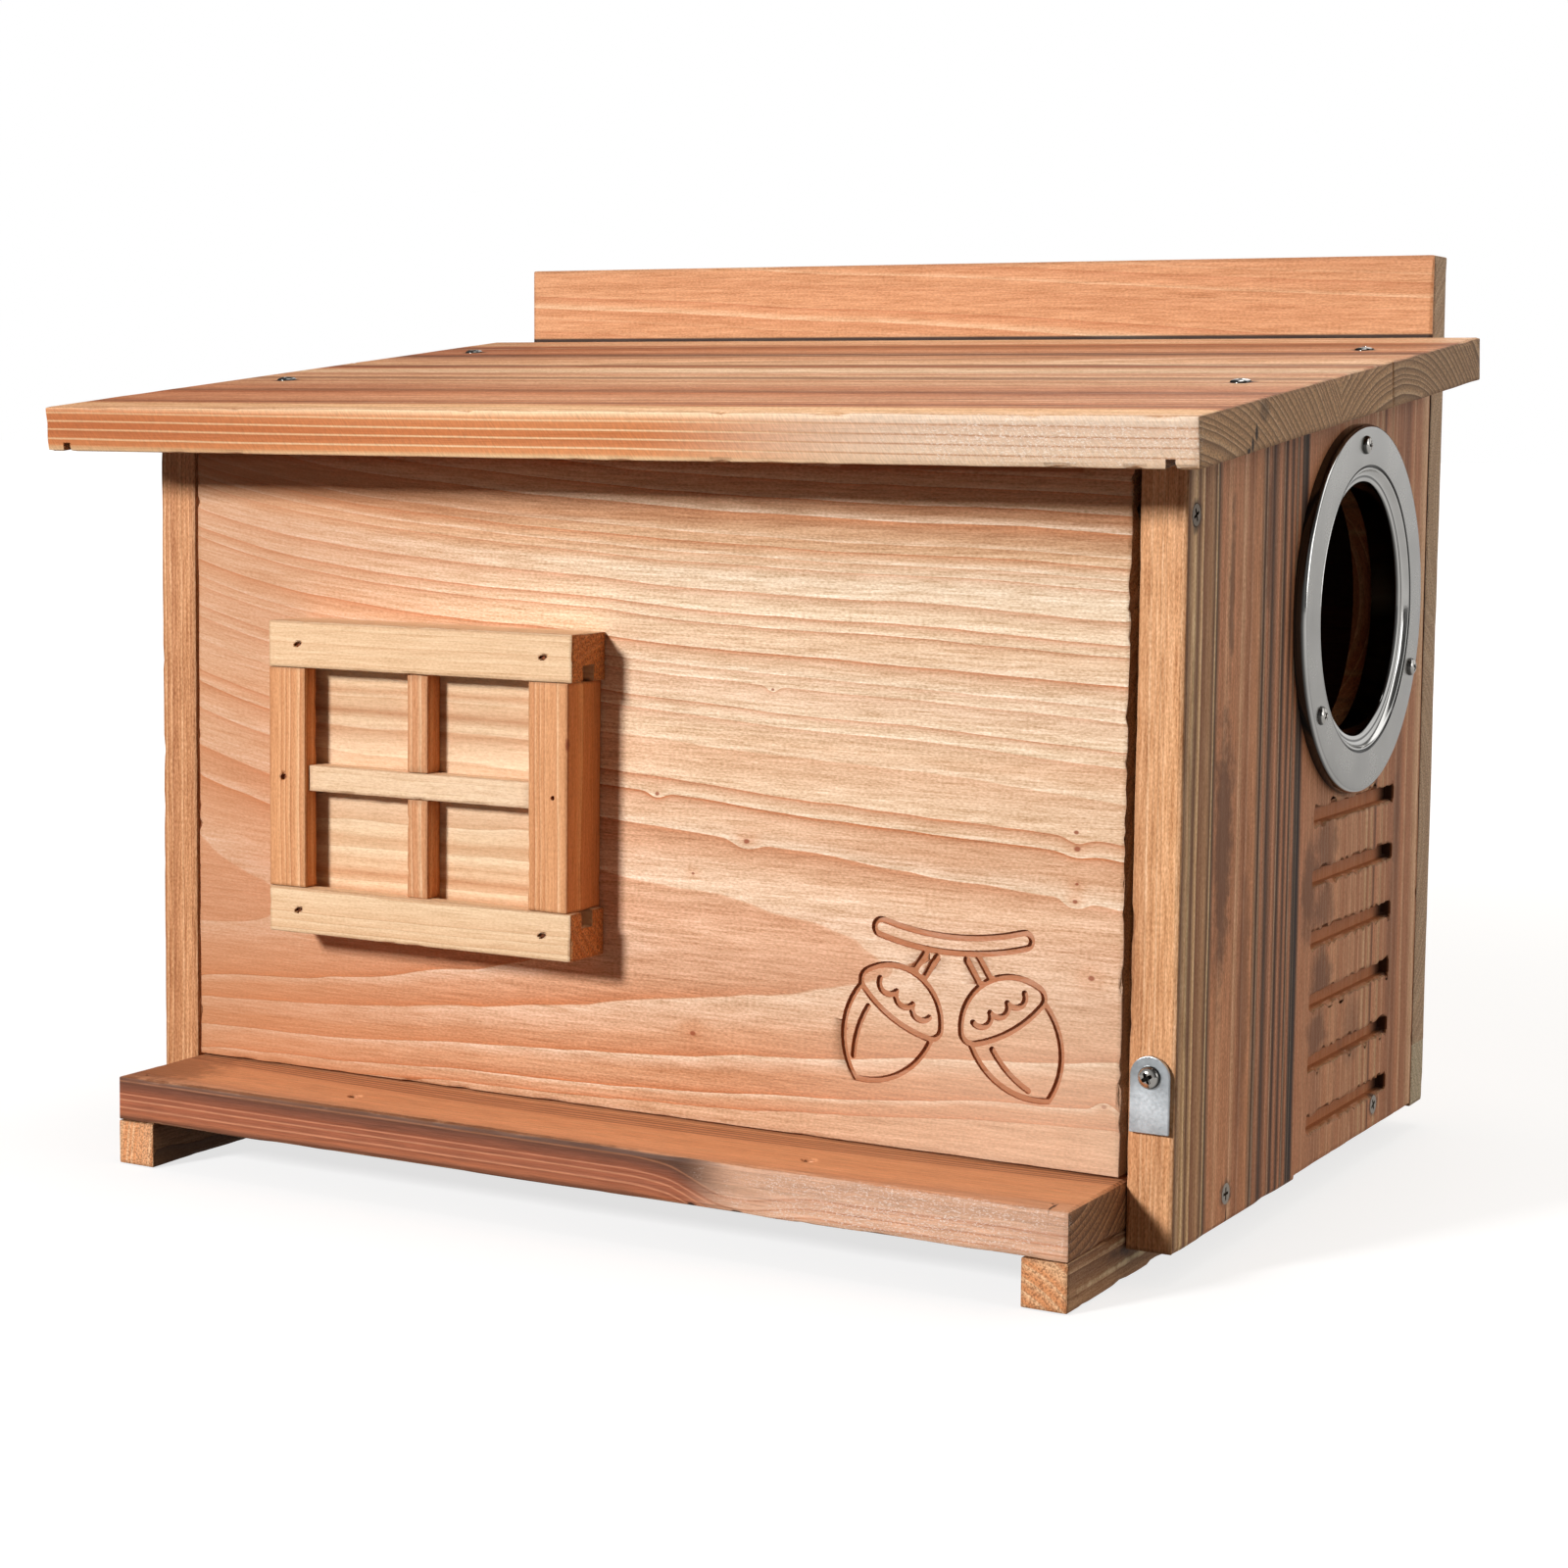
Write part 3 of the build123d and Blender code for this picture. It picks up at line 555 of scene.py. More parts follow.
left_front_wood = fir("left_front_wood", "Z", (-0.125, -0.085), 0.0024, (206, 144, 98), (150, 88, 54),
                      (196, 130, 84), pale=(246, 204, 158), seed=21.0, contrast=1.8)
left_rear_wood = fir("left_rear_wood", "Z", (-0.13, 0.08), 0.004, seed=24.0)
FRONT_BANDS = stripes(HOUSE_FRONT, (
    (0, 238, 176, 124), (0.5, 232, 170, 120), (1.2, *CHAR), (3.5, 178, 132, 92), (5.2, 198, 152, 106),
    (6.4, 244, 208, 156), (7.4, *OLIVE), (9, *CHAR), (11, 204, 156, 110), (12.2, 240, 200, 150),
    (13.2, *UMBER), (20, 192, 142, 100), (22.6, *CHAR), (23.6, 240, 202, 152), (24.6, *SOOT),
    (28, 222, 154, 110), (44, 224, 156, 112), (53, 186, 120, 82), (61, 212, 144, 100), (66, *SOOT),
    (69, *CLAY), (73, *SOOT), (79, *CLAY), (84, *TAR), (86.5, *CLAY), (89.5, *SOOT), (92, *CLAY), (94, *TAR),
    (97, *CLAY), (99, *SOOT), (103.5, *TAR), (106, *CLAY)))
right_front_wood = fir("right_front_wood", "Z", (0.13, -0.085), 0.0026, TAN, CHAR, RUST, seed=27.0,
                       wander=0.002, lines=0.35, bands=(2, 0.0014, FRONT_BANDS), contrast=1.5)
burns_and_shade(right_front_wood, CHAR, *on_side(
    0.006, (-0.069, 0.128, 0.011, 0.056, 0.85), (-0.066, 0.205, 0.003, 0.035, 0.7),
    (-0.034, 0.22, 0.004, 0.035, 0.7), (-0.048, 0.08, 0.006, 0.06, 0.45),
    (-0.096, 0.12, 0.003, 0.09, 0.45)))
burns_and_shade(right_front_wood, SOOT, *on_side(
    0.004, (-0.097, 0.2275, 0.0058, 0.0058, 1.0), (-0.0588, 0.0185, 0.0054, 0.0058, 1.0),
    (-0.0585, 0.0105, 0.0007, 0.006, 1.0)))
REAR_BANDS = stripes(0.0042, (
    (0, *CLAY), (8, 202, 138, 100), (20, 182, 120, 86), (30, *CLAY), (38, 218, 156, 116), (44, *CLAY),
    (52, 218, 158, 118), (60, *CLAY), (65, 220, 160, 120), (66, *STRAW), (67.5, *CLAY), (71, *CLAY),
    (72, *STRAW), (73.5, *CLAY), (76, *CHAR), (77, *CLAY), (82.5, *CLAY), (83.4, *STRAW), (84.6, *CLAY),
    (95, 188, 126, 90), (102, 160, 102, 70), (106, *CLAY), (118, 190, 128, 92), (126.3, *CLAY)))
right_rear_wood = fir("right_rear_wood", "Z", (0.06, 0.16), 0.003, seed=31.0,
                      wander=0.002, lines=0.35, bands=(2, 0.0012, REAR_BANDS), contrast=1.3)
burnt_grooves(right_rear_wood)
painted_hole_shade(right_rear_wood)
burns_and_shade(right_rear_wood, CHAR, *on_side(
    0.006, (0.012, 0.104, 0.011, 0.024, 0.75), (0.03, 0.115, 0.014, 0.014, 0.6),
    (0.028, 0.096, 0.012, 0.012, 0.6), (0.026, 0.074, 0.014, 0.012, 0.75),
    (0.024, 0.054, 0.014, 0.01, 0.65), (0.06, 0.05, 0.012, 0.016, 0.4),
    (0.104, 0.118, 0.004, 0.03, 0.5), (0.1, 0.07, 0.004, 0.04, 0.35)))
burns_and_shade(right_rear_wood, SOOT, *on_side(0.004, (0.087, 0.0185, 0.0054, 0.0058, 1.0)))
UPRIGHT, FINE_UPRIGHT = (0.009, 0.009, 0.004), (0.009, 0.0013, 0.004)
for seed, (name, wood, slot, steps) in enumerate((
        ("left_side_front_board", left_front_wood, "toasted_fir", UPRIGHT),
        ("left_side_rear_board", left_rear_wood, "toasted_fir", UPRIGHT),
        ("right_side_front_board", right_front_wood, "dark_fir", UPRIGHT),
        ("right_side_rear_board", right_rear_wood, "dark_fir", FINE_UPRIGHT)), 6):
    side_board = worn_board(name, wood, glued=(SIDE_SEAM,), steps=steps, seed=seed)
reshaped(side_board, torn_grooves)
reshaped(side_board, open_joint)

# The back panel: three level fir boards glued edge to edge. The top one stands above the roof, so
# that the house hangs from it.
BACK_FACE, ROOF_MEETS_BACK = 0.1305, 0.2872
BACK_SEAMS = (((0, 0, 0.032), (0, 0, 1)), ((0, 0, 0.1895), (0, 0, 1)))
back_bottom_wood = fir("back_bottom_wood", "X", (0.1, 0.0), 0.0036,
                       sawn=(186, 166, 138), sawn_line=(214, 196, 168), seed=35.0)
back_middle_wood = fir("back_middle_wood", "X", (0.09, 0.11), 0.0042,
                       sawn=(176, 140, 110), sawn_line=(206, 176, 146), seed=38.0)
back_top_wood = fir("back_top_wood", "X", (0.19, 0.235), 0.0042, (226, 168, 124), RUST, (212, 152, 108),
                    sawn=(176, 140, 108), sawn_line=(206, 176, 146), seed=41.0, lean=(0.02, -0.03),
                    lines=0.6, wander=0.005)
# Painted shade: the back middle board's inner face is darkened, for the dim inside of the house seen through
# the entrance.
inner_face_shade = rise(place_on(back_middle_wood).parts()[1], BACK_FACE + 0.0007, BACK_FACE + 0.0002)
overlaid(back_middle_wood, inner_face_shade, (110, 96, 84), "MULTIPLY")
# Painted shade: a near-black line on the top board's front face just above the roof, where the roof meets it.
x, y, z = place_on(back_top_wood).parts()
shade_above_roof = rise(z, ROOF_MEETS_BACK + 0.0004, ROOF_MEETS_BACK - 0.0004) * rise(y, BACK_FACE + 0.0007, BACK_FACE + 0.0003)
overlaid(back_top_wood, shade_above_roof * 0.95, (34, 22, 16))
for seed, (name, wood) in enumerate((("back_bottom_board", back_bottom_wood),
                                     ("back_middle_board", back_middle_wood),
                                     ("back_top_board", back_top_wood)), 11):
    worn_board(name, wood, glued=BACK_SEAMS, seed=seed)

# The roof: two fir boards glued along their length, torched and brushed so that the rings stand
# out in stripes, with a drip groove under each end, and screwed down on the sides.
SLOPE = np.arctan2(26, 234)
EAVES, OVERHANG, TO_SEAM, ROOF_END = 0.245, 0.0377, 0.136, 0.2075
ROOF_FRONT = HOUSE_FRONT + EAVES * tan(SLOPE) - OVERHANG / cos(SLOPE)
ROOF_SEAM = ((0, HOUSE_FRONT + TO_SEAM * cos(SLOPE), EAVES + TO_SEAM * sin(SLOPE)),
             (0, cos(SLOPE), sin(SLOPE)))
EDGE_LEFT = stripes(0.2408, (
    (0, 250, 212, 166), (1.0, 240, 190, 140), (1.8, 224, 146, 92), (3.2, 218, 138, 84), (3.6, 252, 216, 170),
    (4.1, 214, 132, 80), (6.2, 200, 118, 68), (6.6, 250, 208, 160), (7.1, 206, 122, 70), (9.0, 206, 122, 70),
    (9.4, 252, 214, 166), (9.9, 210, 128, 76), (11.8, 216, 136, 84), (12.2, 248, 206, 158),
    (12.7, 224, 148, 98), (14.0, 246, 198, 152), (14.9, 252, 218, 176)))
EDGE_RIGHT = stripes(0.2408, (
    (0, 244, 210, 172), (1.6, 232, 196, 162), (3.4, 234, 198, 166), (3.8, 196, 142, 104),
    (4.3, 238, 204, 172), (6.4, 232, 196, 166), (6.8, 194, 140, 104), (7.3, 236, 202, 172),
    (9.2, 230, 192, 162), (9.6, 194, 140, 104), (10.1, 236, 202, 172), (12.0, 230, 190, 160),
    (12.4, 200, 148, 112), (12.9, 236, 204, 176), (14.9, 244, 214, 186)))
ROOF_BANDS = stripes(HOUSE_FRONT, (
    (-37.7, *HONEY), (-26, 240, 190, 140), (-19, *RUST), (-15, *UMBER), (-11, *RUST), (-3, *TAN),
    (11, *CLAY), (18, *RUST), (25, *UMBER), (33, *CLAY), (45, *TAN), (55, *HONEY), (60, *RUST), (64, *HONEY),
    (73, *UMBER), (78, *HONEY), (86, *CLAY), (97, *CREAM), (108, *HONEY), (115, *RUST), (120, *UMBER),
    (126, *HONEY), (143, 228, 172, 130), (156, *TAN), (163, *UMBER), (167, *CHAR), (173, *RUST), (180, *TAN),
    (190, *RUST), (201, *UMBER), (208, *RUST), (214, *HONEY)), cos(SLOPE) / 1000)


def roof_front_edge(material):
    """Stripes on the roof's front face, orange brown over its left two thirds and pale pink to the
    right, crossed by fine slanting saw marks."""
    place = place_on(material)
    x, y, z = place.parts()
    face = rise(z * tan(SLOPE) + y, ROOF_FRONT + 0.0008, ROOF_FRONT + 0.0002)
    tilted = node(material.node_tree, "CombineXYZ", {0: x, 1: y, 2: x * 0.004 + z})[0]
    overlaid(material, face, banded(tilted, 2, 0.0008, EDGE_RIGHT, 7))
    overlaid(material, face * rise(x, 0.12, 0.02), banded(tilted, 2, 0.0008, EDGE_LEFT, 7))
    slanted = node(material.node_tree, "VectorRotate", {0: place, "Angle": 0.6}, rotation_type="Y_AXIS")[0]
    marks = (stretched_noise(slanted, (1900, 1, 420)) - 0.5) * 0.7 + 0.94
    overlaid(material, face * 0.8, marks, "MULTIPLY")


def wood_of(material):
    """The inputs of a board's grain."""
    return next(made for made in material.node_tree.nodes if made.type == "GROUP").inputs


def turned_strip(material):
    """The rear 50 mm of the front board is a strip glued on with its rings the other way up: the
    pith jumps where y passes -21 mm."""
    beyond = place_on(material).parts()[1].math("GREATER_THAN", -0.021)
    jump = node(material.node_tree, "CombineXYZ", {1: beyond * 0.2 + -0.165, 2: beyond * 0.07 + 0.1})
    jump[0].feed(wood_of(material)["Pith"])


roof_look = {"pale": (250, 220, 184), "seed": 45.0, "lean": (0.05, 0.02), "lines": 0.6, "contrast": 1.7,
             "bands": (1, 0.004, ROOF_BANDS)}
roof_front_wood = fir("roof_front_wood", "X", (-0.165, 0.1), 0.0024, HONEY, (136, 82, 50), TAN,
                      sawn=(196, 150, 106), sawn_line=(84, 54, 34), **roof_look)
roof_rear_wood = fir("roof_rear_wood", "X", (0.035, 0.17), 0.0024, HONEY, (132, 80, 48), TAN,
                     sawn=(186, 144, 104), sawn_line=(84, 56, 38), **roof_look)
turned_strip(roof_front_wood)
roof_front_edge(roof_front_wood)
ROOF_SCREWS = [[(x, y, z) for x in (-0.1825, 0.1825)] for y, z in ((-0.0427, 0.2669), (0.0766, 0.2801))]
for wood, pair in zip((roof_front_wood, roof_rear_wood), ROOF_SCREWS):
    longer_torched = rise(place_on(wood).parts()[0], 0.0, -0.2)
    overlaid(wood, longer_torched * 0.8, (222, 206, 196), "MULTIPLY")
    # Painted shade: a dark ring round each screw seat, for the shade under and round the pan heads.
    burns_and_shade(wood, (58, 34, 24), *((seat, (0.006, 0.006, 0.004), 1.0) for seat in pair))
burns_and_shade(roof_front_wood, (44, 28, 22), ((ROOF_END, -0.0965, 0.2515), (0.004, 0.0014, 0.0034), 1.0),
         ((ROOF_END, -0.0995, 0.2482), (0.004, 0.0015, 0.0032), 1.0),
         ((ROOF_END, -0.1022, 0.2462), (0.004, 0.002, 0.0014), 1.0),
         ((ROOF_END, -0.09, 0.2575), (0.004, 0.006, 0.004), 0.5))
# Painted highlights: pale specks of raised fibres on the roof's front face.
fuzz_highlights(roof_front_wood, (255, 240, 226), ((0.165, -0.141, 0.249), (0.075, 0.004, 0.012)))
worn_board("roof_front_board", roof_front_wood, glued=(ROOF_SEAM,), seed=15)
worn_board("roof_rear_board", roof_rear_wood, glued=(ROOF_SEAM,), seed=16)

# The entrance ring: a flange turned from steel and polished, with a rolled outer rim, a flat face,
# a stepped lip and a short sleeve in the hole, held by three pan screws.
RING_PROFILE = (
    (0, 61.5), (2.6, 61.5), (3.4, 61.28), (3.9, 60.9), (4.2, 60.4), (4.3, 59.85), (4.3, 47.9), (4.1, 47.75),
    (3.7, 47.68), (3.6, 47.45), (3.9, 47.25), (4.1, 46.9), (4, 46.55), (3.6, 46.25), (3, 46), (2.4, 45.3),
    (2.1, 44.6), (2, 44), (1.9, 43), (1.7, 42.5), (1.3, 42.25), (0.6, 42.2), (-7.4, 42.2), (-8, 42.4),
    (-8, 43.8), (0, 43.8))


def grid_faces(rows, count, bands):
    """Faces between the first `bands` rows of a grid and the rows after them. Each row of `count`
    points is a loop, and the first row comes after the last."""
    row, column = np.meshgrid(np.arange(bands), np.arange(count), indexing="ij")
    after, beside = (row + 1) % rows * count, (column + 1) % count
    return np.stack([row * count + column, after + column, after + beside, row * count + beside],
                    axis=2).reshape(-1, 4)


def turned(name, profile, middle, steps=288):
    """A closed profile of (height, radius) in millimetres, turned about X: y = radius cos a and
    z = radius sin a."""
    height, radius = np.array(profile).T / 1000
    angle = np.linspace(0, 2 * pi, steps, endpoint=False)[:, None]
    grid = np.stack([height + 0 * angle, radius * np.cos(angle), radius * np.sin(angle)], axis=2)
    quads = grid_faces(steps, len(profile), steps)
    mesh = bpy.data.meshes.new(name)
    mesh.from_pydata((grid + middle).reshape(-1, 3), [], quads.tolist())
    mesh.shade_smooth()
    mesh.set_sharp_from_angle(angle=radians(32))
    return added(name, mesh)


def steel(name, colour, roughness, scratches=0.12, clouded=0.86):
    """Bare metal whose roughness and relief follow a fine noise of rubbed scratches, and whose
    colour darkens in clouds to the share given."""
    material, tree, shader = new_material(name)
    place = place_on(material)
    rubbed = stretched_noise(place, (900, 900, 900), detail=3.0)
    clouds = stretched_noise(place, (60, 60, 60))
    (rubbed * scratches + clouds * 0.1 + (roughness - scratches / 2)).feed(shader["Roughness"])
    shade = ramp(clouds, (0.3, clouded), (0.7, 1.0))
    shade.laid(tone(*colour), 1.0, "MULTIPLY").feed(shader["Base Color"])
    node(tree, "Bump", {"Strength": 0.08, "Distance": 0.0002, "Height": rubbed})[0].feed(shader["Normal"])
    shader["Metallic"].default_value = 1.0
    return material


polished_steel = steel("polished_steel", (226, 224, 220), 0.05, 0.04)
on_face = rise(place_on(polished_steel).parts()[0], RING_FACE - 0.00008, RING_FACE - 0.00001)
gloss = polished_steel.node_tree.nodes["Principled BSDF"].inputs["Roughness"]
(on_face * 0.16 + Value(gloss.links[0].from_socket)).feed(gloss)
outwards = (from_axis(polished_steel) - RING_BORE) / RING_BREADTH
# Painted reflection: by the distance from the hole's axis, dark bands on the lip, between lip and face and at
# the rim's outer edge stand for dark surroundings mirrored in the steel; the sleeve is darkened and the face
# dimmed too.
painted_reflection_bands = ramp(outwards, (0.0, 0.1), (0.012, 0.14), (0.03, 0.9),
              (0.075, 1.0), (0.095, 0.25), (0.115, 0.2), (0.13, 1.0), (0.155, 1.0), (0.25, 1.0),
              (0.27, 0.1), (0.295, 0.12), (0.305, 0.72), (0.925, 0.72), (0.935, 1.0), (0.955, 0.9),
              (0.97, 0.1))
overlaid(polished_steel, 1.0, painted_reflection_bands, "MULTIPLY")
ring = turned("entrance_ring_turned", RING_PROFILE, ENTRANCE)
ring.data.materials.append(polished_steel)
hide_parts("entrance_ring")
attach(ring, "house")

# The front panel: one wide pale fir board, grain from side to side, that swings out on two screws.
# It has pin knots, a slightly wavy right edge, and two acorns under a twig cut with a round bit.
PANEL_HALF = 0.174
PIN_KNOTS = ((0.0538, 0.1702), (0.0121, 0.1348), (0.045, 0.1219), (0.0256, 0.1102), (0.157, 0.1329),
             (0.1574, 0.128), (0.1575, 0.1175), (0.157, 0.1122), (0.026, 0.0588), (0.0813, 0.0661),
             (0.1676, 0.0515), (0.1627, 0.0897))


def pin_knot():
    """A pin knot seen on a face in XZ: d is the distance from its middle, and it pushes the rings
    aside by e^-(d/4r)^2 and is dark where d < r."""
    group, given, out = new_group("pin_knot", {"Vector": "Place, Middle", "Float": "Radius"},
                                  {"Float": "Push, Dark"})
    flat = given["Place"].vector("SUBTRACT", given["Middle"]).vector("MULTIPLY", (0.75, 0, 1))
    far = flat.vector("LENGTH") / given["Radius"]
    (far * far / -16.0).math("EXPONENT").feed(out["Push"])
    rise(far, 1.25, 0.55).feed(out["Dark"])
    return group


PIN_KNOT = pin_knot()


def sagging(place):
    """Lifts the wood's place at the panel's upper left, so that the lines there run down to the
    right: z less 16 mm times e^-(distance from the left edge / 70 mm), above the heart."""
    x, y, z = place.parts()
    left = ((x + PANEL_HALF) * -14.0).math("EXPONENT")
    return node(place.tree, "CombineXYZ", {0: x, 1: y, 2: z - left * rise(z, 0.07, 0.17) * 0.016})[0]


# The darker stop at 222 mm, below the panel's top, is partly a painted shadow of the roof's eaves on the
# grain's own band.
PANEL_BANDS = stripes(0, (
    (30.8, 232, 190, 154), (36, 230, 188, 150), (46, 216, 160, 118), (60, 230, 178, 138),
    (75, 234, 188, 152), (98, 230, 178, 142), (104, 240, 196, 160), (118, 236, 188, 150),
    (135, 242, 206, 170), (150, 238, 196, 158), (156, 246, 214, 178), (172, 248, 216, 182),
    (184, 238, 200, 162), (190, 248, 218, 182), (205, 248, 222, 188), (214, 232, 192, 150),
    (222, 184, 134, 94), (229, 216, 168, 128), (243.5, 224, 178, 140)))
panel_wood = fir("panel_wood", "X", (-0.013, 0.088), 0.0042, CREAM, (196, 116, 68), HONEY,
                 pale=(252, 230, 202), lean=(0.03, -0.01), seed=52.0, lines=0.9, wander=0.006,
                 bands=(2, 0.006, PANEL_BANDS), warp=sagging, contrast=1.25)


def panel_details(material):
    """Pin knots in the panel's face, a browner left end, livelier lines away from the heart, and
    the browned floor and walls of the engraving."""
    place, wood = place_on(material), wood_of(material)
    push = dark = 0.0
    for number, (x, z) in enumerate(PIN_KNOTS):
        knot = node(material.node_tree, "Group", {
            "Place": place, "Middle": (x, 0, z), "Radius": 0.00045 + 0.0002 * (number % 3)},
            node_tree=PIN_KNOT)
        push = knot["Push"] + push
        dark = knot["Dark"].math("MAXIMUM", dark)
    (push * 0.35).feed(wood["Push"])
    overlaid(material, dark * 0.85, (150, 72, 40))
    x, y, z = place.parts()
    overlaid(material, rise(x, 0.0, -0.16) * 0.62, (196, 130, 88))
    low_right = rise(x, 0.02, 0.15) * rise(z, 0.1, 0.05)
    overlaid(material, low_right * 0.35, (244, 216, 188))
    (rise(abs(z - 0.092), 0.006, 0.03) * 0.65 + 0.3).feed(wood["Lines"])
    cut = rise(y, HOUSE_FRONT + 0.00005, HOUSE_FRONT + 0.0005)
    cut *= rise(y, HOUSE_FRONT + 0.002, HOUSE_FRONT + 0.0016)
    beside = rise(x, 0.075, 0.077) * rise(x, 0.158, 0.156)
    overlaid(material, cut * beside * 0.75, (176, 104, 62))


def nibbled(points):
    """Waves the panel's right edge, which was cut by hand: each point there moves in by 0.4 mm
    times slow noise and by up to 0.8 mm where a quick noise peaks."""
    edge = points[:, 0] > PANEL_HALF - 0.0025
    flat = points[edge] * (0, 0.2, 1)
    quick = np.clip(cell_noise(flat, 0.0027, 5) * 3 - 1.7, 0, 1)
    points[edge, 0] -= 0.0004 * cell_noise(flat, 0.011, 3) + 0.0008 * quick


panel_details(panel_wood)
panel = worn_board("front_panel", panel_wood, "swing_front", steps=(0.005, 0.009, 0.0022),
                   ease=0.0007, bites=0.0012, seed=20)
reshaped(panel, nibbled)

# The dummy window: rails and stiles rebated around a pale pane board, with a crossbar and two
# upright bars in front of it, bradded together and glued to the front panel.
rail_wood = fir("rail_wood", "X", (-0.09, 0.11), 0.0026, (244, 208, 168), (208, 154, 108), (236, 196, 154),
                sawn=(196, 126, 76), sawn_line=(222, 164, 110), seed=60.0, lines=0.55, contrast=0.6)
stile_wood = fir("stile_wood", "Z", (-0.07, -0.09), 0.0026, (230, 166, 116), (176, 100, 56),
                 (216, 148, 98), pale=(255, 220, 176), seed=63.0, lines=0.8, contrast=0.8)
bar_wood = fir("bar_wood", "X", (-0.1, 0.16), 0.0026, (246, 214, 180), (204, 156, 112),
               (234, 194, 152), sawn=(206, 140, 90), seed=69.0, lines=0.5, contrast=0.6)
PANE_BANDS = stripes(0, (
    (81, 252, 221, 183), (93, 250, 217, 179), (96, 220, 169, 127), (99, 242, 205, 165), (102, 208, 153, 111),
    (105, 238, 199, 159), (107, 224, 177, 135), (110, 246, 211, 171), (114, 224, 179, 137),
    (116, 248, 215, 175), (121, 240, 201, 161), (125, 250, 217, 179), (138, 252, 221, 185),
    (146, 252, 219, 181), (150, 226, 179, 139), (153, 246, 211, 171), (156, 204, 151, 109),
    (158, 234, 193, 153), (160, 242, 205, 165), (163, 218, 169, 127), (165, 244, 209, 169),
    (172, 238, 201, 161), (186, 246, 213, 175)))
upright_wood = fir("upright_wood", "Z", (-0.05, -0.14), 0.0022, (226, 164, 118), (184, 116, 76),
                   (216, 152, 106), seed=72.0, lines=0.45, contrast=0.8)
pane_wood = fir("pane_wood", "X", (-0.06, 0.13), 0.003, (240, 200, 154), (190, 132, 84),
                (226, 176, 126), pale=(250, 226, 190), seed=66.0, lines=0.3,
                bands=(2, 0.0014, PANE_BANDS), contrast=0.55)
for wood in (rail_wood, stile_wood, bar_wood, upright_wood):
    # Painted shade: the faces that look sideways are darkened and warmed, for the shade on the frame's sides,
    # while the fronts stay pale.
    aside = node(wood.node_tree, "TexCoord")["Normal"].parts()[0]
    overlaid(wood, rise(abs(aside), 0.5, 0.9), (250, 224, 190), "MULTIPLY")
burns_and_shade(stile_wood, (142, 74, 42), ((-0.0092, -0.1234, 0.1505), (0.0012, 0.0016, 0.0032), 1.0))
SMALL = (0.0025, 0.0025, 0.0025)
for seed, (name, wood, slot) in enumerate((
        ("window_top_rail", rail_wood, "pale_fir"), ("window_bottom_rail", rail_wood, "pale_fir"),
        ("window_left_stile", stile_wood, "toasted_fir"), ("window_right_stile", stile_wood, "toasted_fir"),
        ("window_pane_board", pane_wood, "pale_fir"), ("window_crossbar", bar_wood, "pale_fir"),
        ("window_upper_muntin", upright_wood, "toasted_fir"),
        ("window_lower_muntin", upright_wood, "toasted_fir")), 25):
    low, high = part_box(name)
    level = (low[2] + high[2]) / 2
    brads = [(-0.116, 0.5), (-0.019, 0.4)] if "rail" in name else []
    brads = [((low[0] + high[0]) / 2 - 0.0022, 1.3)] if name == "window_left_stile" else brads
    pits = [((x + 0.0006, low[1], level + 0.0002), 0.0021, 0.0009, 0.0012, slant) for x, slant in brads]
    burns_and_shade(wood, (104, 44, 26), *((middle, (0.0021, 0.002, 0.0011), 0.8) for middle, *_ in pits))
    worn_board(name, wood, "swing_front", steps=SMALL, ease=0.0004, wander=0.0002, bites=0.0006,
               margin=0.0011, seed=seed, pits=pits)

# The latch: a strip of zinc plated sheet, sheared square at its free end, on one pan screw.
zinc = steel("zinc_plated_steel", (214, 220, 224), 0.34, 0.3, 0.5)
worn_board("latch_plate", zinc, "latch", steps=(0.004, 0.004, 0.004), ease=0.00025,
           wander=0.0001, bites=0.0, margin=0.0006, seed=40, shortest=0.0004)

# Screws and brads: nickel coloured cross-head screws in the walls, roof and ring, and the small
# heads of brads, punched in with a gun. The pan heads of ring, latch and roof are turned anew.


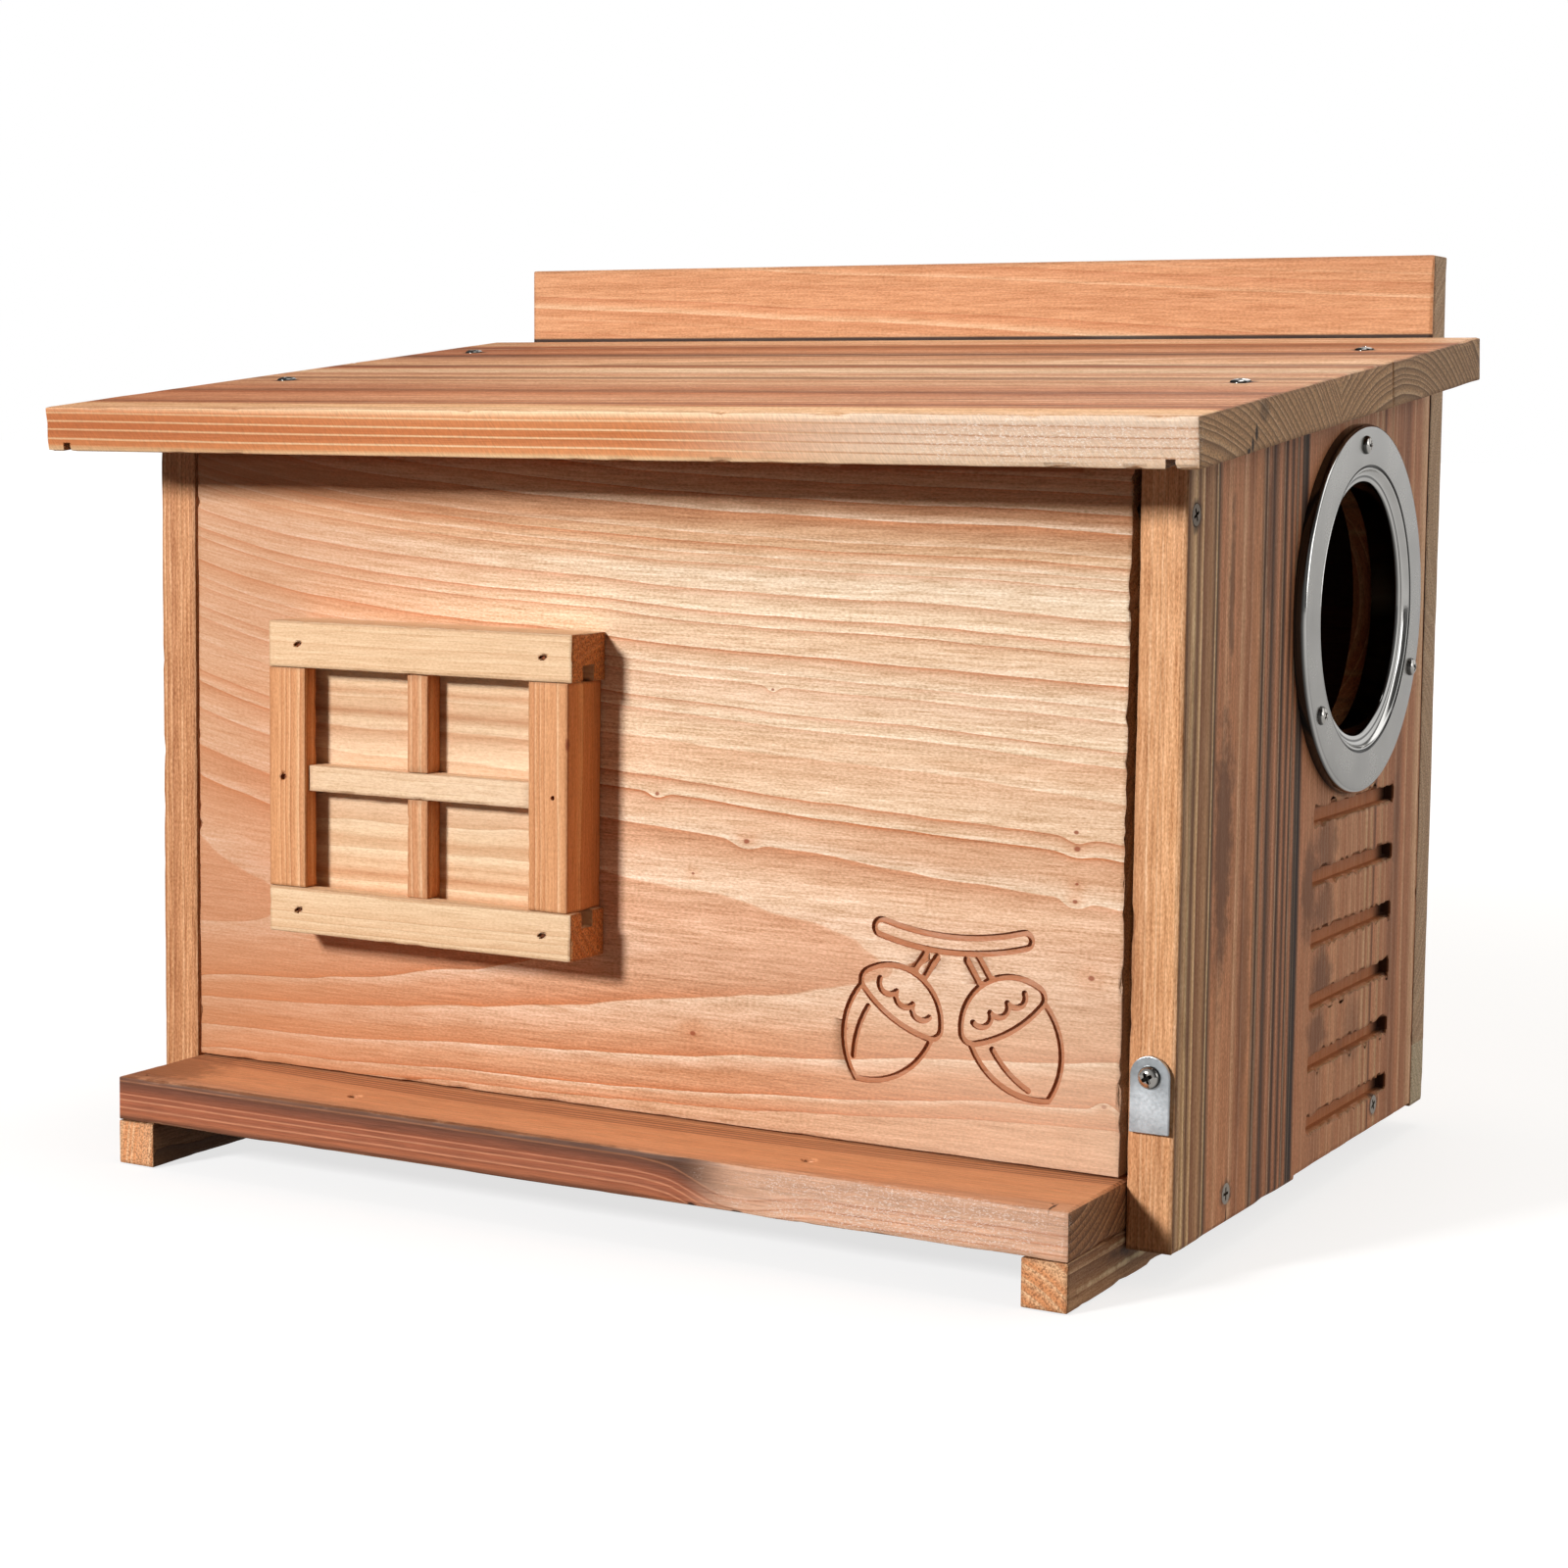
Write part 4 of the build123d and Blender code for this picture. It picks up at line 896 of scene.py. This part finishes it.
def pan_screws(name, seats, out, head, rise_up, shank, length):
    """Pan screws at seats of (place, turn), their heads towards `out`.

    The head's height over its radius r is rise * (1 - (r/R)^2.6)^0.5, less a cross whose two arms
    deepen towards the middle. The shank is a cylinder with a sawtooth thread: its radius grows
    with the fraction of height / pitch + angle / turn. Rows run from the top to the tip.
    """
    angle = np.linspace(0, 2 * pi, 96, endpoint=False)[None, :]
    radius = head * np.concatenate([np.linspace(0, 0.6, 22), np.linspace(0.64, 0.97, 10), [0.995, 1.0]])
    height = rise_up * np.sqrt(np.maximum(1 - (radius / head) ** 2.6, 0))
    x, y = radius[:, None] * np.cos(angle), radius[:, None] * np.sin(angle)
    cross = np.zeros_like(x)
    reach = 0.5 * head
    for one, other in ((x, y), (y, x)):
        wide = 0.13 * head + 0.07 * head * (1 - np.abs(one) / reach)
        arm = np.clip((wide - np.abs(other)) / 0.00012, 0, 1) * np.clip((reach - np.abs(one)) / 0.00015, 0, 1)
        cross = np.maximum(cross, arm)
    top = height[:, None] - cross * rise_up * (0.75 - 0.4 * radius[:, None] / reach)
    down = np.arange(0.0, -length, -0.00022)
    thread = (down[:, None] / 0.0013 + angle / (2 * pi)) % 1
    thick = np.clip((down + length) / 0.004, 0.02, 1)[:, None]
    stem = shank * thick * (0.74 + 0.26 * thread)
    level = down[:, None] + 0 * angle
    grid = np.concatenate([np.stack([x, y, top], axis=2),
                           np.stack([stem * np.cos(angle), stem * np.sin(angle), level], axis=2)])
    rows, count = grid.shape[:2]
    quads = grid_faces(rows, count, rows - 1)
    # Painted shade: the cross, the head's rim and the shank get a mark by which the metal is darkened.
    rim = 0.9 * np.clip((radius / head - 0.84) / 0.08, 0, 1)[:, None]
    painted_shade = np.concatenate([np.maximum(cross, rim), 0.6 * (level < 0)]).ravel()
    out = Vector(out).normalized()
    ahead = Vector((0, 0, 1)).cross(out).normalized()
    axes = np.array((ahead, out.cross(ahead), out))
    points = [grid.reshape(-1, 3) @ Matrix.Rotation(-turn, 3, "Z") @ axes + place for place, turn in seats]
    faces = [quads + number * rows * count for number in range(len(seats))]
    mesh = bpy.data.meshes.new(name)
    mesh.from_pydata(np.concatenate(points), [], np.concatenate(faces).tolist())
    mesh.attributes.new("painted_shade", "FLOAT", "POINT").data.foreach_set(
        "value", np.tile(painted_shade, len(seats)).astype(np.float32))
    shape = bmesh.new()
    shape.from_mesh(mesh)
    bmesh.ops.remove_doubles(shape, verts=shape.verts, dist=1e-7)
    bmesh.ops.holes_fill(shape, edges=shape.edges, sides=200)
    bmesh.ops.recalc_face_normals(shape, faces=shape.faces)
    shape.to_mesh(mesh)
    shape.free()
    mesh.shade_smooth()
    mesh.set_sharp_from_angle(angle=radians(35))
    return added(name, mesh)


screw_metal = steel("screw_steel", (172, 160, 146), 0.24)
dull_metal = steel("dull_screw_steel", (112, 98, 84), 0.3)
brad_metal = steel("brad_steel", (122, 72, 50), 0.4)
pan_metal = steel("pan_screw_steel", (216, 212, 206), 0.12)
# Painted shade: the screws' crosses and the rims of their heads are darkened almost to black.
painted_shade = node(pan_metal.node_tree, "Attribute", attribute_name="painted_shade")["Fac"]
overlaid(pan_metal, painted_shade * 0.95, (20, 18, 16))
ring_seats = [((RING_FACE, ENTRANCE[1] + SCREW_CIRCLE * cos(turn), ENTRANCE[2] + SCREW_CIRCLE * sin(turn)),
               turn) for turn in map(radians, (96, 216, 336))]
roof_seats = [(seat, 0.3 + 40 * seat[1]) for pair in ROOF_SCREWS for seat in pair]
for name, seats, out, sizes in (
        ("ring_screws", ring_seats, (1, 0, 0), (0.0031, 0.0019, 0.0015, 0.0119)),
        ("latch_screw", [((0.1825, -0.1054, 0.0625), 0.5)], (0, -1, 0), (0.0035, 0.0024, 0.00175, 0.0238)),
        ("roof_screws", roof_seats, (0, -sin(SLOPE), cos(SLOPE)), (0.0034, 0.0011, 0.00175, 0.028))):
    screws = pan_screws(name + "_turned", seats, out, *sizes)
    screws.data.materials.append(pan_metal)
    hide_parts(name)
    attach(screws, "house")
for name, metal in (("pivot_screws", dull_metal), ("floor_screws", screw_metal),
                    ("back_screws", screw_metal), ("window_brads", brad_metal),
                    ("batten_brads", brad_metal)):
    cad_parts[name].data.materials.clear()
    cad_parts[name].data.materials.append(metal)

# A pale floor under the house, a soft light from the upper left of the front, a weak one from the
# right, and the camera at the photograph's angle.


def pale_ground():
    """A matt white floor whose own glow, seen by the camera and half as strongly in mirrors, rises
    with the distance from the house, so that it runs into the white behind it."""
    material, tree, shader = new_material("pale_floor")
    shader["Roughness"].default_value = 0.9
    shader["Specular IOR Level"].default_value = 0.0
    shader["Emission Color"].default_value = (1, 1, 1, 1)
    glow = rise(place_on(material).vector("LENGTH"), 0.3, 1.5) * 0.26 + 0.74
    sight = node(tree, "LightPath")
    ramp(sight["Is Camera Ray"], (0.0, 0.1), (1.0, 0.32)).feed(shader["Base Color"])
    (glow * (sight["Is Glossy Ray"] * 0.5 + sight["Is Camera Ray"])).feed(shader["Emission Strength"])
    return material


def soft_light(name, place, aim, size, power):
    """A square softbox that faces its aim."""
    data = bpy.data.lights.new(name, "AREA")
    data.shape = "SQUARE"
    data.size = size
    data.energy = power
    facing = (Vector(aim) - Vector(place)).to_track_quat("-Z", "Y").to_matrix().to_4x4()
    added(name, data).matrix_world = Matrix.Translation(place) @ facing


ground = bpy.data.meshes.new("pale_floor")
ground.from_pydata([(-30, -30, -0.0002), (30, -30, -0.0002), (30, 30, -0.0002), (-30, 30, -0.0002)], [],
                   [(0, 1, 2, 3)])
ground.materials.append(pale_ground())
pale_floor = added("pale_floor", ground)

soft_light("key_light", (-0.85, -2.12, 1.0), (0, 0, 0.15), 0.34, 60)
soft_light("top_light", (0.1, 0.1, 2.3), (0, 0, 0.2), 0.9, 15)
soft_light("fill_light", (2.4, -0.2, 0.9), (0.1, 0, 0.15), 1.0, 5)

# The room: white to the camera, bright behind the house and dim in front of it to the wood, and
# with brighter and darker flags for what the metal mirrors.
world = bpy.data.worlds.new("studio")
bpy.context.scene.world = world
world.use_nodes = True
sky = world.node_tree
sky.nodes.clear()
way = node(sky, "TexCoord")["Generated"]
behind = way.vector("DOT_PRODUCT", (0.52, 0.85, 0.05))
glow = behind.math("MAXIMUM", 0.0) ** 3.0 * 2.7 + 0.02
glow = rise(way.parts()[2], 0.1, 0.9) * 0.16 + glow
sight = node(sky, "LightPath")
mirrored = sight["Is Glossy Ray"]
warmth = ramp(rise(behind, 0.0, 0.4), (0.0, (1.0, 0.7, 0.48, 1)), (1.0, (1.0, 0.93, 0.8, 1)))
flags = ramp(behind * 0.5 + 0.5, (0.0, 0.28), (0.3, 0.22), (0.42, 0.05), (0.71, 0.05), (0.79, 1.0),
             (0.88, 1.0), (0.9, 0.08), (0.935, 0.1), (0.96, 0.5), (1.0, 0.5))
around = node(sky, "Background", {
    "Color": warmth.laid((1, 1, 1, 1), mirrored),
    "Strength": glow * (mirrored * -1.0 + 1.0) + flags * 1.4 * mirrored})[0]
seen = node(sky, "Background", {"Color": (1, 1, 1, 1), "Strength": 1.0})[0]
chosen = node(sky, "MixShader", {0: sight["Is Camera Ray"], 1: around, 2: seen})[0]
chosen.feed(sky.nodes.new("ShaderNodeOutputWorld").inputs["Surface"])

CAMERA_PLACE = Vector((0.5088, -0.9296, 0.2502))
CAMERA_YAW, CAMERA_PITCH, CAMERA_ROLL = radians(28.63), radians(5.148), radians(0.641)
camera = added("camera", bpy.data.cameras.new("camera"))
camera.data.sensor_fit = "HORIZONTAL"
camera.data.sensor_width = 36.0
camera.data.lens = 69.8
camera.data.shift_y = -0.05
camera.data.clip_start = 0.01
camera.matrix_world = Matrix.Translation(CAMERA_PLACE)
for angle, axis in ((CAMERA_YAW, "Z"), (pi / 2 - CAMERA_PITCH, "X"), (CAMERA_ROLL, "Z")):
    camera.matrix_world @= Matrix.Rotation(angle, 4, axis)
bpy.context.scene.camera = camera
bpy.context.scene.view_settings.view_transform = "Standard"
